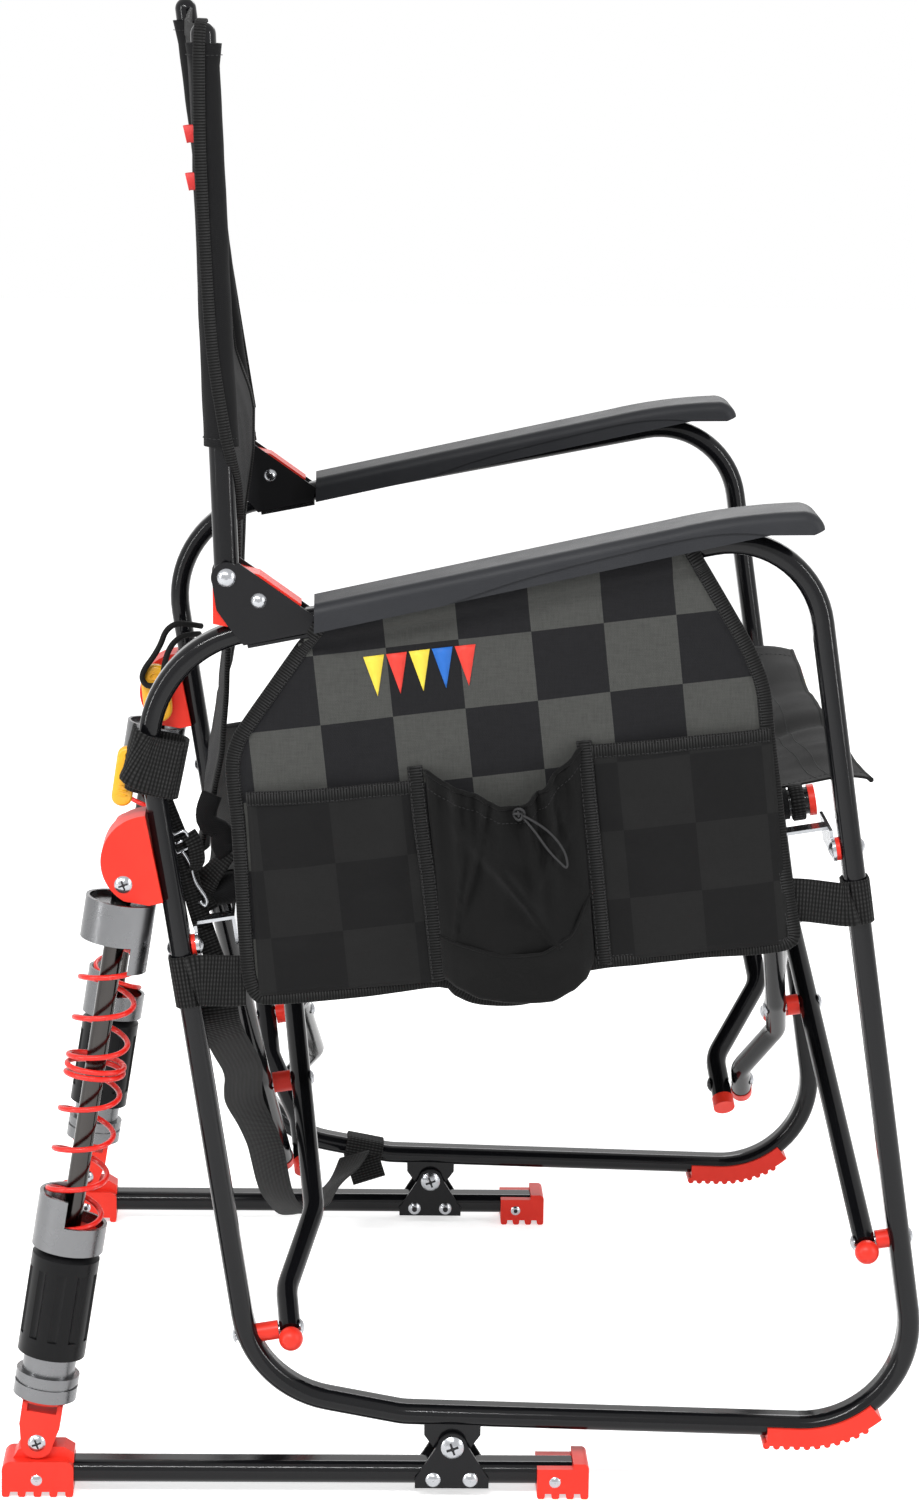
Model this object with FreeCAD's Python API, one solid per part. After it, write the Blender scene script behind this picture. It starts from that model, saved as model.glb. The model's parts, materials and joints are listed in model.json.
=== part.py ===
import FreeCAD, Part
import math
import os

# A tall camping rocking chair whose side frames rock on sprung ground rails.
# Millimetres. The sitter faces +X, +Y is the sitter's left, +Z is up, Z = 0 is the ground.
# Everything on the sitter's right is drawn first and mirrored in Y for the left.

os.makedirs("parts", exist_ok=True)

# Driving sizes
half_width = 330.0
tube_high = 16.0
tube_wide = 25.0
clearance = 0.3
running_gap = 0.05

# Side frame: corners of the centre line and their bend radii
rear_top = (-249.0, 634.5)
front_top = (236.0, 732.0)
front_low = (342.5, 51.0)
sole_bend = (-47.0, 61.5)
rear_low = (-158.0, 82.7)
rear_top_bend = 85.0
front_top_bend = 68.0
front_low_bend = 78.0
sole_bend_radius = 60.0
rear_low_bend = 80.0

# Ground rail, its feet and the rocking pivot
rock_pivot = (-10.0, 38.8)
pivot_radius = 5.0
rail_high = 17.0
rail_wide = 26.0
rail_corner = 7.5
rail_middle = 16.2
rail_rear_end = -331.0
rail_front_end = 80.0
front_foot_back = 53.5
front_foot_front = 92.0
rear_foot_back = -344.0
rear_foot_front = -291.0
foot_wide = 38.0
foot_tooth = 4.0
foot_wall_top = 23.2
front_foot_top = 27.5
rear_foot_top = 27.5
lug_half = 10.2
cheek = 3.0

# Shock absorber: foot pin, top pin and stations along its axis
shock_foot = (-318.3, 40.5)
shock_top = (-254.5, 466.8)
shock_pin = 4.0
yoke_sheet = 4.0
rod_radius = 7.4
bore_radius = 8.0
barrel_radius = 25.0
barrel_low = 68.0
barrel_high = 150.0
lower_cup_radius = 26.4
cup_radius = 25.8
cup_wall = 2.6
spring_wire = 4.0
spring_radius = 20.8
spring_low = barrel_high + 13.0
spring_high = spring_low + 233.0
spring_turns = 9.06
packed_turn = 4.84
open_pitch = 31.6
packed_pitch = 4.7

# Folding legs: the fold lines lean nose-up by this angle
fold_tilt = 9.3
fold_line_height = 148.0
leg_radius = 8.0
cross_half = 104.0
cross_rise = 124.5
low_centre_rise = 38.5
rail_half = half_width - 46.0
rail_rise = 328.0
seat_rail_radius = 10.0
rail_rear_s = -126.0
rail_front_s = 327.0
leg_a_front = 321.7
leg_a_rear = -83.0
leg_b_front = 295.6
leg_b_rear = -113.5
crank_a_rear = -26.4
crank_b_front = -29.0
side_by_side = 17.6
clip_rise = 299.5
clip_sheet = 2.4
bracket_sheet = 2.2
bolt_radius = 3.5

# Back posts
post_radius = 9.0
post_pivot = (-181.6, 691.3)
post_foot = post_pivot[1] - 30.3
post_top = 1072.0
post_lean_right = 2.8
post_lean_left = 7.8

# Armrest: ends, half width and the roundings of its upper edges and nose
arm_rear = -119.0
arm_front = 243.5
arm_half = 29.0
arm_round = 8.0
arm_nose = 15.0

# Lock clips and the band round the near one
clip_deep = 14.0
clip_height = 548.0

# Cloth
cloth = 3.0
panel_face = -half_width - 7.0
seat_front = 292.0
seat_rear = -199.7
sleeve_foot = 784.0


def vec(x, y, z):
    return FreeCAD.Vector(x, y, z)


def fold_point(s, y, h):
    # s runs forward along the fold lines, h rises square to them from the lower hinge line
    tilt = math.radians(fold_tilt)
    rise = h + fold_line_height * math.cos(tilt)
    x = s * math.cos(tilt) - rise * math.sin(tilt)
    z = s * math.sin(tilt) + rise * math.cos(tilt)
    return vec(x, y, z)


def upright_s(low, high, h):
    # Where the side frame's upright between two corners stands along the fold line at rise h
    tilt = math.radians(fold_tilt)
    lean = (high[0] - low[0]) / (high[1] - low[1])
    rise = h + fold_line_height * math.cos(tilt)
    offset = low[0] - lean * low[1] + rise * (math.sin(tilt) + lean * math.cos(tilt))
    return offset / (math.cos(tilt) - lean * math.sin(tilt))


def front_upright(h):
    return upright_s(front_low, front_top, h)


def rear_upright(h):
    # The lower hinge sits where the tube has begun to bend forwards
    bend = 1.7 if h < 60 else 0.0
    return upright_s(rear_low, rear_top, h) + bend


def upright_x(low, high, z):
    return low[0] + (high[0] - low[0]) * (z - low[1]) / (high[1] - low[1])


def fold_axis():
    tilt = math.radians(fold_tilt)
    return vec(math.cos(tilt), 0, math.sin(tilt))


def mirror(shape):
    return shape.mirror(vec(0, 0, 0), vec(0, 1, 0))


def slide(shape, x, y, z):
    moved = shape.copy()
    moved.translate(vec(x, y, z))
    return moved


def fuse(shapes):
    whole = shapes[0].multiFuse(shapes[1:]) if len(shapes) > 1 else shapes[0]
    return whole.removeSplitter()


def group(shapes):
    return Part.makeCompound(shapes)


def box(x0, x1, y0, y1, z0, z1):
    return Part.makeBox(x1 - x0, y1 - y0, z1 - z0, vec(x0, y0, z0))


def pin_y(x, z, y0, y1, radius):
    return Part.makeCylinder(radius, y1 - y0, vec(x, y0, z), vec(0, 1, 0))


def pin_s(s0, s1, y, h, radius):
    return Part.makeCylinder(radius, s1 - s0, fold_point(s0, y, h), fold_axis())


def plate(outline, y0, y1):
    # A flat plate of the given X-Z outline between two Y planes
    points = [vec(x, y0, z) for x, z in outline]
    points.append(points[0])
    face = Part.Face(Part.makePolygon(points))
    return face.extrude(vec(0, y1 - y0, 0))


def dome(centre, direction, radius, height):
    # A low round screw or rivet head standing on a face, turned from an arc
    sphere_radius = (radius * radius + height * height) / (2 * height)
    half_angle = math.asin(min(1.0, radius / sphere_radius)) / 2
    middle_x = sphere_radius * math.sin(half_angle)
    middle_z = height - sphere_radius * (1 - math.cos(half_angle))
    edges = [
        Part.makeLine(vec(0, 0, 0), vec(radius, 0, 0)),
        Part.Arc(vec(radius, 0, 0), vec(middle_x, 0, middle_z), vec(0, 0, height)).toShape(),
        Part.makeLine(vec(0, 0, height), vec(0, 0, 0)),
    ]
    solid = Part.Face(Part.Wire(edges)).revolve(vec(0, 0, 0), vec(0, 0, 1), 360)
    solid.Placement = FreeCAD.Placement(centre, FreeCAD.Rotation(vec(0, 0, 1), direction))
    return solid


# Bent tubes in an upright plane

def stadium(centre, normal, across, high, wide):
    # Flat-oval outline: flat sides of length wide - high along Y, round ends
    half_flat = (wide - high) / 2
    radius = high / 2
    y = vec(0, 1, 0)
    left = centre + y * half_flat
    right = centre - y * half_flat
    up = across * radius
    top_left = left + up
    top_right = right + up
    low_left = left - up
    low_right = right - up
    edges = [
        Part.makeLine(top_right, top_left),
        Part.Arc(top_left, left + y * radius, low_left).toShape(),
        Part.makeLine(low_left, low_right),
        Part.Arc(low_right, right - y * radius, top_right).toShape(),
    ]
    return Part.Face(Part.Wire(edges))


def corner_data(before, corner, after, radius):
    # Tangent points, arc centre and turn of a rounded corner in the X-Z plane
    into = vec(corner[0] - before[0], 0, corner[1] - before[1])
    out = vec(after[0] - corner[0], 0, after[1] - corner[1])
    into.normalize()
    out.normalize()
    turn = math.acos(max(-1.0, min(1.0, into.dot(out))))
    reach = radius * math.tan(turn / 2)
    sign = 1.0 if into.z * out.x - into.x * out.z > 0 else -1.0
    start = vec(corner[0], 0, corner[1]) - into * reach
    end = vec(corner[0], 0, corner[1]) + out * reach
    side = vec(into.z * sign, 0, -into.x * sign)
    centre = start + side * radius
    return start, end, centre, math.degrees(turn) * sign, into


def frame_corners():
    return [
        (rear_top, rear_top_bend),
        (front_top, front_top_bend),
        (front_low, front_low_bend),
        (sole_bend, sole_bend_radius),
        (rear_low, rear_low_bend),
    ]


def frame_tube(section):
    # The closed side frame: straight runs extruded, corners revolved about Y
    corners = frame_corners()
    count = len(corners)
    data = []
    for i in range(count):
        before = corners[i - 1][0]
        after = corners[(i + 1) % count][0]
        data.append(corner_data(before, corners[i][0], after, corners[i][1]))
    pieces = []
    for i in range(count):
        start, end, centre, turn, into = data[i]
        across = vec(-into.z, 0, into.x)
        face = section(start, into, across)
        pieces.append(face.revolve(centre, vec(0, 1, 0), turn))
        previous_end = data[i - 1][1]
        face = section(previous_end, into, across)
        pieces.append(face.extrude(start - previous_end))
    return pieces


def tube_section(centre, into, across):
    return stadium(centre, into, across, tube_high, tube_wide)


def saddle():
    # Welded under the sole of the frame, carries the rocking pivot
    top = 51.5
    half = 21.0
    x, z = rock_pivot
    inner = 10.5
    outline = [
        (x - half, top),
        (x + half, top),
        (x + half, z + 8),
        (x + 9, z - 8.5),
        (x - 9, z - 8.5),
        (x - half, z + 8),
    ]
    cheeks = []
    for side in (-1, 1):
        near = min(side * inner, side * (inner - cheek))
        cheeks.append(plate(outline, near, near + cheek))
    bridge = box(x - half, x + half, -inner, inner, top - 3, top + 4)
    solid = fuse(cheeks + [bridge])
    hole = pin_y(x, z, -20, 20, pivot_radius + running_gap)
    return solid.cut(hole)


def side_frame():
    loop = fuse(frame_tube(tube_section))
    solid = fuse([loop, saddle()])
    for s, h in hinge_seats():
        solid = solid.cut(pin_s(s - 14, s + 14, 0, h, bolt_radius + running_gap))
    return slide(solid, 0, -half_width, 0)


def grown_frame(extra):
    # The side frame's tube a little thicker, to trim what is fitted round it
    return frame_tube(lambda c, i, a: stadium(c, i, a, tube_high + 2 * extra, tube_wide + 2 * extra))


def hinge_seats():
    return [(place(h), h) for place in (front_upright, rear_upright) for h in (0.0, clip_rise)]


def top_line(x):
    slope = (front_top[1] - rear_top[1]) / (front_top[0] - rear_top[0])
    return rear_top[1] + slope * (x - rear_top[0])


def top_slope():
    return math.atan2(front_top[1] - rear_top[1], front_top[0] - rear_top[0])


# Armrest

def arm_outline():
    # Side view: a straight pad that levels out in front and ends in a rounded nose
    low_rear = vec(arm_rear, 0, top_line(arm_rear) - 6.5)
    high_rear = vec(arm_rear, 0, top_line(arm_rear) + 13.8)
    low_front = vec(206.0, 0, 728.5)
    chin = vec(arm_front - 8.0, 0, 729.0)
    nose_low = vec(arm_front, 0, 732.5)
    top = 745.5
    bend = arm_nose * math.sqrt(0.5)
    nose_middle = vec(arm_front - arm_nose + bend, 0, top - arm_nose + bend)
    nose_front = vec(arm_front, 0, top - arm_nose + 4.0)
    level = vec(arm_front - arm_nose, 0, top)
    shoulder = vec(136.0, 0, 732.0)
    edges = [
        Part.makeLine(high_rear, shoulder),
        Part.Arc(shoulder, vec(184.0, 0, 741.4), level).toShape(),
        Part.Arc(level, nose_middle, nose_front).toShape(),
        Part.makeLine(nose_front, nose_low),
        Part.makeLine(nose_low, chin),
        Part.makeLine(chin, low_front),
        Part.makeLine(low_front, low_rear),
        Part.makeLine(low_rear, high_rear),
    ]
    return Part.Face(Part.Wire(edges))


def is_upper_edge(edge):
    # An edge along either side of the armrest that lies above the frame tube
    middle = edge.CenterOfMass
    flat = edge.BoundBox.YLength < 0.01 and abs(abs(middle.y) - arm_half) < 0.01
    return flat and middle.z > top_line(middle.x) + 4.0


def armrest():
    face = arm_outline()
    face.translate(vec(0, -arm_half, 0))
    solid = face.extrude(vec(0, 2 * arm_half, 0))
    solid = solid.makeFillet(arm_round, [e for e in solid.Edges if is_upper_edge(e)])
    solid = solid.cut(arm_channel())
    for side in (-1, 1):
        solid = solid.cut(arm_step(side))
    return slide(solid, 0, -half_width, 0)


def arm_step(side):
    # The skirt below the rising crease stands back from the pad
    depth = 1.8
    curve = Part.BSplineCurve()
    crease = ((-34.0, 672.0), (32.0, 696.0), (110.0, 717.0), (168.0, 729.0), (214.0, 727.0))
    curve.interpolate([vec(x, 0, z) for x, z in crease])
    first = curve.StartPoint
    last = curve.EndPoint
    edges = [
        curve.toShape(),
        Part.makeLine(last, vec(last.x, 0, 640.0)),
        Part.makeLine(vec(last.x, 0, 640.0), vec(first.x, 0, 640.0)),
        Part.makeLine(vec(first.x, 0, 640.0), first),
    ]
    face = Part.Face(Part.Wire(edges))
    edge = side * arm_half
    face.translate(vec(0, min(edge + side * 5, edge - side * depth), 0))
    return face.extrude(vec(0, 5 + depth, 0))


def arm_channel():
    # Room for the frame tube, open downwards, following the front bend
    reach = tube_high / 2 + clearance
    start, end, centre, turn, into = corner_data(rear_top, front_top, front_low, front_top_bend)
    rise = vec(-math.sin(top_slope()), 0, math.cos(top_slope())) * reach
    back = vec(arm_rear - 20.0, 0, top_line(arm_rear - 20.0)) + rise
    on_line = start + rise
    outward = vec(end.x - centre.x, 0, end.z - centre.z)
    outward.normalize()
    arc_end = centre + outward * (front_top_bend + reach)
    middle = vec(on_line.x + arc_end.x - 2 * centre.x, 0, on_line.z + arc_end.z - 2 * centre.z)
    middle.normalize()
    arc_middle = centre + middle * (front_top_bend + reach)
    low_front = vec(arc_end.x, 0, 600)
    low_back = vec(back.x, 0, 600)
    edges = [
        Part.makeLine(back, on_line),
        Part.Arc(on_line, arc_middle, arc_end).toShape(),
        Part.makeLine(arc_end, low_front),
        Part.makeLine(low_front, low_back),
        Part.makeLine(low_back, back),
    ]
    half = tube_wide / 2 + clearance
    face = Part.Face(Part.Wire(edges))
    face.translate(vec(0, -half, 0))
    return face.extrude(vec(0, 2 * half, 0))


# Back bracket, block and post

def bracket_plates():
    inner = tube_wide / 2 + clearance
    sheet = bracket_sheet
    outline = [
        (-192.2, 690.0),
        (-188.5, 668.0),
        (-180.0, 656.0),
        (-169.0, 642.5),
        (-121.5, 652.5),
        (-119.0, 664.5),
        (-173.0, 702.0),
    ]
    solids = []
    for side in (-1, 1):
        near = side * inner if side > 0 else -inner - sheet
        flat = plate(outline, near, near + sheet)
        knob = pin_y(post_pivot[0], post_pivot[1], near, near + sheet, 11.0)
        solids.append(flat.fuse(knob))
    slope = top_slope()
    drop = tube_high / 2 + clearance
    length = 47.0
    wrap = Part.makeBox(length, 2 * (inner + sheet), sheet, vec(0, -inner - sheet, -drop - sheet))
    wrap.rotate(vec(0, 0, 0), vec(0, 1, 0), -math.degrees(slope))
    wrap.translate(vec(-168.0, 0, top_line(-168.0)))
    return fuse(solids + [wrap])


def back_bracket():
    solid = bracket_plates()
    for x, z in bracket_rivets():
        solid = solid.cut(pin_y(x, z, -30, 30, bolt_radius))
    return slide(solid, 0, -half_width, 0)


def bracket_rivets():
    return [post_pivot, (-158.5, 675.0)]


def post_axis(lean):
    angle = math.radians(lean)
    return vec(-math.sin(angle), 0, math.cos(angle))


def post_tube(lean, radius):
    axis = post_axis(lean)
    low = (post_foot - post_pivot[1]) / axis.z
    high = (post_top - post_pivot[1]) / axis.z
    base = vec(post_pivot[0], 0, post_pivot[1]) + axis * low
    return Part.makeCylinder(radius, high - low, base, axis)


def back_post(lean):
    tube = post_tube(lean, post_radius)
    axis = post_axis(lean)
    top = vec(post_pivot[0], 0, post_pivot[1]) + axis * ((post_top - post_pivot[1]) / axis.z)
    cap = Part.makeSphere(post_radius, top)
    solid = tube.fuse(cap)
    solid = solid.cut(pin_y(post_pivot[0], post_pivot[1], -30, 30, bolt_radius))
    return slide(solid.removeSplitter(), 0, -half_width, 0)


def back_block(lean):
    # Plastic insert between the bracket plates, holds the post's foot
    outline = [
        (-191.0, 657.5),
        (-191.5, 692.0),
        (-176.0, 698.0),
        (-158.0, 693.5),
        (-128.0, 672.5),
        (-131.0, 667.8),
        (-167.0, 660.5),
        (-180.0, 655.5),
    ]
    half = tube_wide / 2
    solid = plate(outline, -half, half)
    for piece in frame_tube(lambda c, i, a: stadium(c, i, a, tube_high + 1.0, tube_wide + 4)):
        solid = solid.cut(piece)
    solid = solid.cut(post_tube(lean, post_radius + running_gap))
    for x, z in bracket_rivets():
        solid = solid.cut(pin_y(x, z, -30, 30, bolt_radius))
    return slide(solid.Solids[0], 0, -half_width, 0)


# Toe pad

def toe_pad():
    start, end, centre, turn, into = corner_data(front_top, front_low, sole_bend, front_low_bend)
    sweep = 42.0
    radius = front_low_bend

    def station(angle):
        # Point on the bend, measured back from where it meets the sole
        a = math.radians(angle)
        foot = end - centre
        x = foot.x * math.cos(a) - foot.z * math.sin(a)
        z = foot.x * math.sin(a) + foot.z * math.cos(a)
        return centre + vec(x, 0, z)

    outward = end - centre
    outward.normalize()
    thick = 5.0
    half = tube_wide / 2 + 3.0
    along = vec(sole_bend[0] - front_low[0], 0, sole_bend[1] - front_low[1])
    along.normalize()

    def trough(centre_point, out):
        y = vec(0, 1, 0)
        low = centre_point + out * (tube_high / 2 + thick)
        high = centre_point - out * 0.5
        corners = [low - y * half, low + y * half, high + y * half, high - y * half, low - y * half]
        return Part.Face(Part.makePolygon(corners))

    straight = trough(end, outward).extrude(along * 24.0)
    bend = trough(end, outward).revolve(centre, vec(0, 1, 0), -sweep)
    solid = straight.fuse(bend)
    teeth = []
    reach = radius + tube_high / 2 + thick
    for i in range(11):
        place = (i - 3.2) * 7.6
        if place < 0:
            middle = end + outward * (reach - radius) - along * place
        else:
            middle = centre + (station(math.degrees(place / reach)) - centre) * (reach / radius)
        teeth.append(pin_y(middle.x, middle.z, -half, half, 2.6))
    solid = fuse([solid] + teeth)
    core = frame_tube(lambda c, i, a: stadium(c, i, a, tube_high + 0.1, tube_wide + 0.1))
    for piece in core:
        solid = solid.cut(piece)
    return slide(solid, 0, -half_width, 0)


# Red bracket at the top of the shock absorber

def shock_mount():
    x, z = shock_top
    edges = [
        Part.Arc(vec(-239.2, 0, 517.5), vec(-262.5, 0, 506.0), vec(-271.0, 0, 484.0)).toShape(),
        Part.Arc(vec(-271.0, 0, 484.0), vec(-267.0, 0, 468.0), vec(-254.0, 0, 454.5)).toShape(),
        Part.makeLine(vec(-254.0, 0, 454.5), vec(-236.0, 0, 451.4)),
        Part.makeLine(vec(-236.0, 0, 451.4), vec(-226.0, 0, 453.5)),
        Part.makeLine(vec(-226.0, 0, 453.5), vec(-239.2, 0, 517.5)),
    ]
    half = 17.0
    face = Part.Face(Part.Wire(edges))
    face.translate(vec(0, -half, 0))
    shell = face.extrude(vec(0, 2 * half, 0))
    inside = [
        (-240.0, 440.0),
        (-240.0, 480.0),
        (-246.0, 490.0),
        (-262.0, 486.0),
        (-268.0, 470.0),
        (-268.0, 440.0),
    ]
    hollow = plate(inside, -12.0, 12.0)
    solid = shell.cut(hollow)
    for piece in frame_tube(lambda c, i, a: stadium(c, i, a, tube_high + 0.1, tube_wide + 0.1)):
        solid = solid.cut(piece)
    return slide(solid.Solids[0], 0, -half_width, 0)


# Spacers and fasteners on the side frame

def leg_spacers():
    radius = 7.0
    half_tube = tube_high / 2
    front = pin_s(leg_a_front + leg_radius + 0.4, front_upright(0), 0, 0, radius)
    rear = pin_s(rear_upright(0), leg_a_rear + crank_a_rear - leg_radius - 0.4, 0, 0, radius)
    top_front = front_upright(clip_rise) - half_tube
    top_rear = rear_upright(clip_rise) + half_tube
    front_washer = pin_s(top_front - 3.1, top_front, 0, clip_rise, 8.5)
    rear_washer = pin_s(top_rear, top_rear + 3.1, 0, clip_rise, 8.5)
    solids = []
    for solid, h in ((front, 0), (rear, 0), (front_washer, clip_rise), (rear_washer, clip_rise)):
        for piece in grown_frame(0.1):
            solid = solid.cut(piece)
        solids.append(solid.cut(pin_s(-220, 420, 0, h, bolt_radius + running_gap)))
    return slide(group(solids), 0, -half_width, 0)


def bolt_s(s0, s1, y, h, radius, head):
    # A bolt along the fold lines with a low round head at both ends
    shank = pin_s(s0, s1, y, h, radius)
    front = dome(fold_point(s1, y, h), fold_axis(), head, 2.6)
    rear = dome(fold_point(s0, y, h), fold_axis() * -1, head, 2.6)
    return fuse([shank, front, rear])


def side_fasteners():
    half_tube = tube_high / 2
    ear_face = half_tube + 3.2 + clip_sheet + 0.1
    solids = []
    front = front_upright(0)
    rear = rear_upright(0)
    solids.append(bolt_s(leg_a_front - leg_radius - 0.3, front + half_tube + 0.2, 0, 0, bolt_radius, 6.0))
    far = leg_a_rear + crank_a_rear + leg_radius + 0.3
    solids.append(bolt_s(rear - half_tube - 1.2, far, 0, 0, bolt_radius, 6.0))
    front = front_upright(clip_rise)
    rear = rear_upright(clip_rise)
    solids.append(bolt_s(front - ear_face, front + half_tube + 0.1, 0, clip_rise, bolt_radius, 5.5))
    solids.append(bolt_s(rear - half_tube - 0.1, rear + ear_face, 0, clip_rise, bolt_radius, 5.5))
    plate_out = tube_wide / 2 + clearance + bracket_sheet
    for (x, z), head in zip(bracket_rivets(), (6.6, 5.6)):
        shank = pin_y(x, z, -plate_out, plate_out, bolt_radius)
        near = dome(vec(x, -plate_out, z), vec(0, -1, 0), head, 3.2)
        far = dome(vec(x, plate_out, z), vec(0, 1, 0), head, 3.2)
        solids.append(fuse([shank, near, far]))
    for side in (-1, 1):
        x, z = shock_top
        solids.append(dome(vec(x, side * 17.0, z), vec(0, side, 0), 6.5, 3.0))
    return slide(group(solids), 0, -half_width, 0)


def stay_clips():
    # Bent steel straps on the uprights that hold the upper legs when the chair is open
    reach = tube_high / 2 + 3.2
    front = front_upright(clip_rise) - reach - clip_sheet
    rear = rear_upright(clip_rise) + reach
    front_clip = stay_clip(front, leg_b_front - leg_radius - 1.2 - clip_sheet)
    rear_clip = stay_clip(rear, leg_b_rear + leg_radius + 1.2)
    return slide(group([front_clip, rear_clip]), 0, -half_width, 0)


def stay_clip(near_ear, far_ear):
    # Each ear is given by the lower s of its sheet
    near = slab_s(near_ear, near_ear + clip_sheet, 0, 66, clip_rise - 8, clip_rise + 14)
    near = near.fuse(pin_s(near_ear, near_ear + clip_sheet, 0, clip_rise, 9.0))
    far = slab_s(far_ear, far_ear + clip_sheet, 16, 66, clip_rise - 8, clip_rise + 14)
    low = min(near_ear, far_ear)
    high = max(near_ear, far_ear) + clip_sheet
    bar = slab_s(low, high, 14, 32, clip_rise + 14 - clip_sheet, clip_rise + 14)
    solid = fuse([near, far, bar])
    return solid.cut(pin_s(near_ear - 6, near_ear + 6, 0, clip_rise, bolt_radius + running_gap))


def slab_s(s0, s1, y0, y1, h0, h1):
    # A block square to the fold lines
    corners = [(y0, h0), (y1, h0), (y1, h1), (y0, h1), (y0, h0)]
    points = [fold_point(s0, y, h) for y, h in corners]
    face = Part.Face(Part.makePolygon(points))
    return face.extrude(fold_axis() * (s1 - s0))


# Legs

def leg_tube(points, radius, bend):
    # A round tube through the points, corners rounded with one bend radius
    edges = []
    cursor = points[0]
    for i in range(1, len(points) - 1):
        corner = points[i]
        into = corner - points[i - 1]
        out = points[i + 1] - corner
        into.normalize()
        out.normalize()
        turn = math.acos(max(-1.0, min(1.0, into.dot(out))))
        if turn < 0.005:
            continue
        reach = bend * math.tan(turn / 2)
        start = corner - into * reach
        end = corner + out * reach
        inward = out - into
        inward.normalize()
        depth = bend / math.cos(turn / 2) - bend
        middle = corner + inward * depth
        edges.append(Part.makeLine(cursor, start))
        edges.append(Part.Arc(start, middle, end).toShape())
        cursor = end
    edges.append(Part.makeLine(cursor, points[-1]))
    path = Part.Wire(edges)
    first = points[1] - points[0]
    ring = Part.Wire(Part.makeCircle(radius, points[0], first))
    return path.makePipeShell([ring], True, False)


def cranked(start, end, s, crank, first, last):
    # Leg points from start to end in (y, h), pushed along s by crank near the start
    y0, h0 = start
    y1, h1 = end
    length = math.hypot(y1 - y0, h1 - h0)

    def at(distance, push):
        t = distance / length
        return fold_point(s + push, y0 + (y1 - y0) * t, h0 + (h1 - h0) * t)

    return [at(0, crank), at(first, crank), at(last, 0), at(length, 0)]


def top_centre_rise():
    return cross_rise * half_width / (half_width - cross_half)


def beyond(start, end, extra):
    # The point a little past end on the line from start
    y0, h0 = start
    y1, h1 = end
    length = math.hypot(y1 - y0, h1 - h0)
    return (y1 + (y1 - y0) * extra / length, h1 + (h1 - h0) * extra / length)


def leg_a(s, crank):
    low = (-half_width, 0.0)
    high = (0.0, top_centre_rise())
    low_end = beyond(high, low, 3.0)
    high_end = beyond(low, high, 11.0)
    if crank:
        points = cranked(low_end, high_end, s, crank, 42.0, 118.0)
        return leg_tube(points, leg_radius, 45.0)
    return leg_tube([fold_point(s, *low_end), fold_point(s, *high_end)], leg_radius, 1.0)


def leg_a_left(s, crank):
    # Drawn on the right like leg_a, with its upper end pushed forward to pass the other leg
    low = (-half_width, 0.0)
    high = (0.0, top_centre_rise())
    low_end = beyond(high, low, 3.0)
    high_end = beyond(low, high, 11.0)
    length = math.hypot(high_end[0] - low_end[0], high_end[1] - low_end[1])

    def at(distance, push):
        t = distance / length
        y = low_end[0] + (high_end[0] - low_end[0]) * t
        h = low_end[1] + (high_end[1] - low_end[1]) * t
        return fold_point(s + push, y, h)

    points = [at(0, crank)]
    if crank:
        points += [at(42.0, crank), at(118.0, 0)]
    points += [at(length - 92.0, 0), at(length - 34.0, side_by_side), at(length, side_by_side)]
    return leg_tube(points, leg_radius, 45.0)


def hinge_holes(solid, places):
    for y, h in places:
        solid = solid.cut(pin_s(-220.0, 420.0, y, h, bolt_radius + running_gap))
    return solid


def cross_a_holes():
    return [(-half_width, 0.0), (-cross_half, cross_rise)]


def cross_frame_a_right():
    front = hinge_holes(leg_a(leg_a_front, 0.0), cross_a_holes())
    rear = hinge_holes(leg_a(leg_a_rear, crank_a_rear), cross_a_holes())
    axle = pin_s(leg_a_rear, leg_a_front + leg_radius, 0, top_centre_rise(), 5.0)
    return fuse([front, rear, axle])


def cross_frame_a_left():
    solids = []
    for s, crank in ((leg_a_front, 0.0), (leg_a_rear, crank_a_rear)):
        solid = hinge_holes(leg_a_left(s, crank), cross_a_holes())
        hole = pin_s(s - 20, s + 60, 0, top_centre_rise(), 5.0 + running_gap)
        solids.append(mirror(solid.cut(hole)))
    return group(solids)


def upper_b():
    return (-rail_half, rail_rise)


def leg_b(s, crank, first, last):
    # From the low centre hinge past the crossing up to the seat rail
    low = (0.0, low_centre_rise)
    cross = (-cross_half, cross_rise)
    low_end = beyond(cross, low, 14.0)
    length = math.hypot(cross[0] - low_end[0], cross[1] - low_end[1])

    def at(distance, push):
        t = distance / length
        y = low_end[0] + (cross[0] - low_end[0]) * t
        h = low_end[1] + (cross[1] - low_end[1]) * t
        return fold_point(s + push, y, h)

    points = [at(0, crank)]
    if crank:
        points += [at(first, crank), at(last, 0)]
    points += [fold_point(s, *beyond(low, cross, 12.0)), fold_point(s, *upper_b())]
    return leg_tube(points, leg_radius, 30.0)


def cross_frame_b(front_crank, rear_crank):
    front = leg_b(leg_b_front, front_crank, 40.0, 108.0)
    rear = leg_b(leg_b_rear, rear_crank, 40.0, 108.0)
    rail = pin_s(rail_rear_s, rail_front_s, -rail_half, rail_rise, seat_rail_radius)
    solid = fuse([front, rear, rail])
    return hinge_holes(solid, [(-cross_half, cross_rise), (0.0, low_centre_rise)])


def cross_frame_b_left():
    front_crank = crank_b_front - side_by_side
    frame = cross_frame_b(front_crank, side_by_side)
    front = half_bolt(leg_b_front + front_crank - leg_radius, -1, 0, low_centre_rise)
    rear = half_bolt(leg_b_rear + side_by_side + leg_radius, 1, 0, low_centre_rise)
    return mirror(group([frame, front, rear]))


def cap_ball(s, y, h):
    return Part.makeSphere(leg_radius + 1.0, fold_point(s, y, h))


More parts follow.
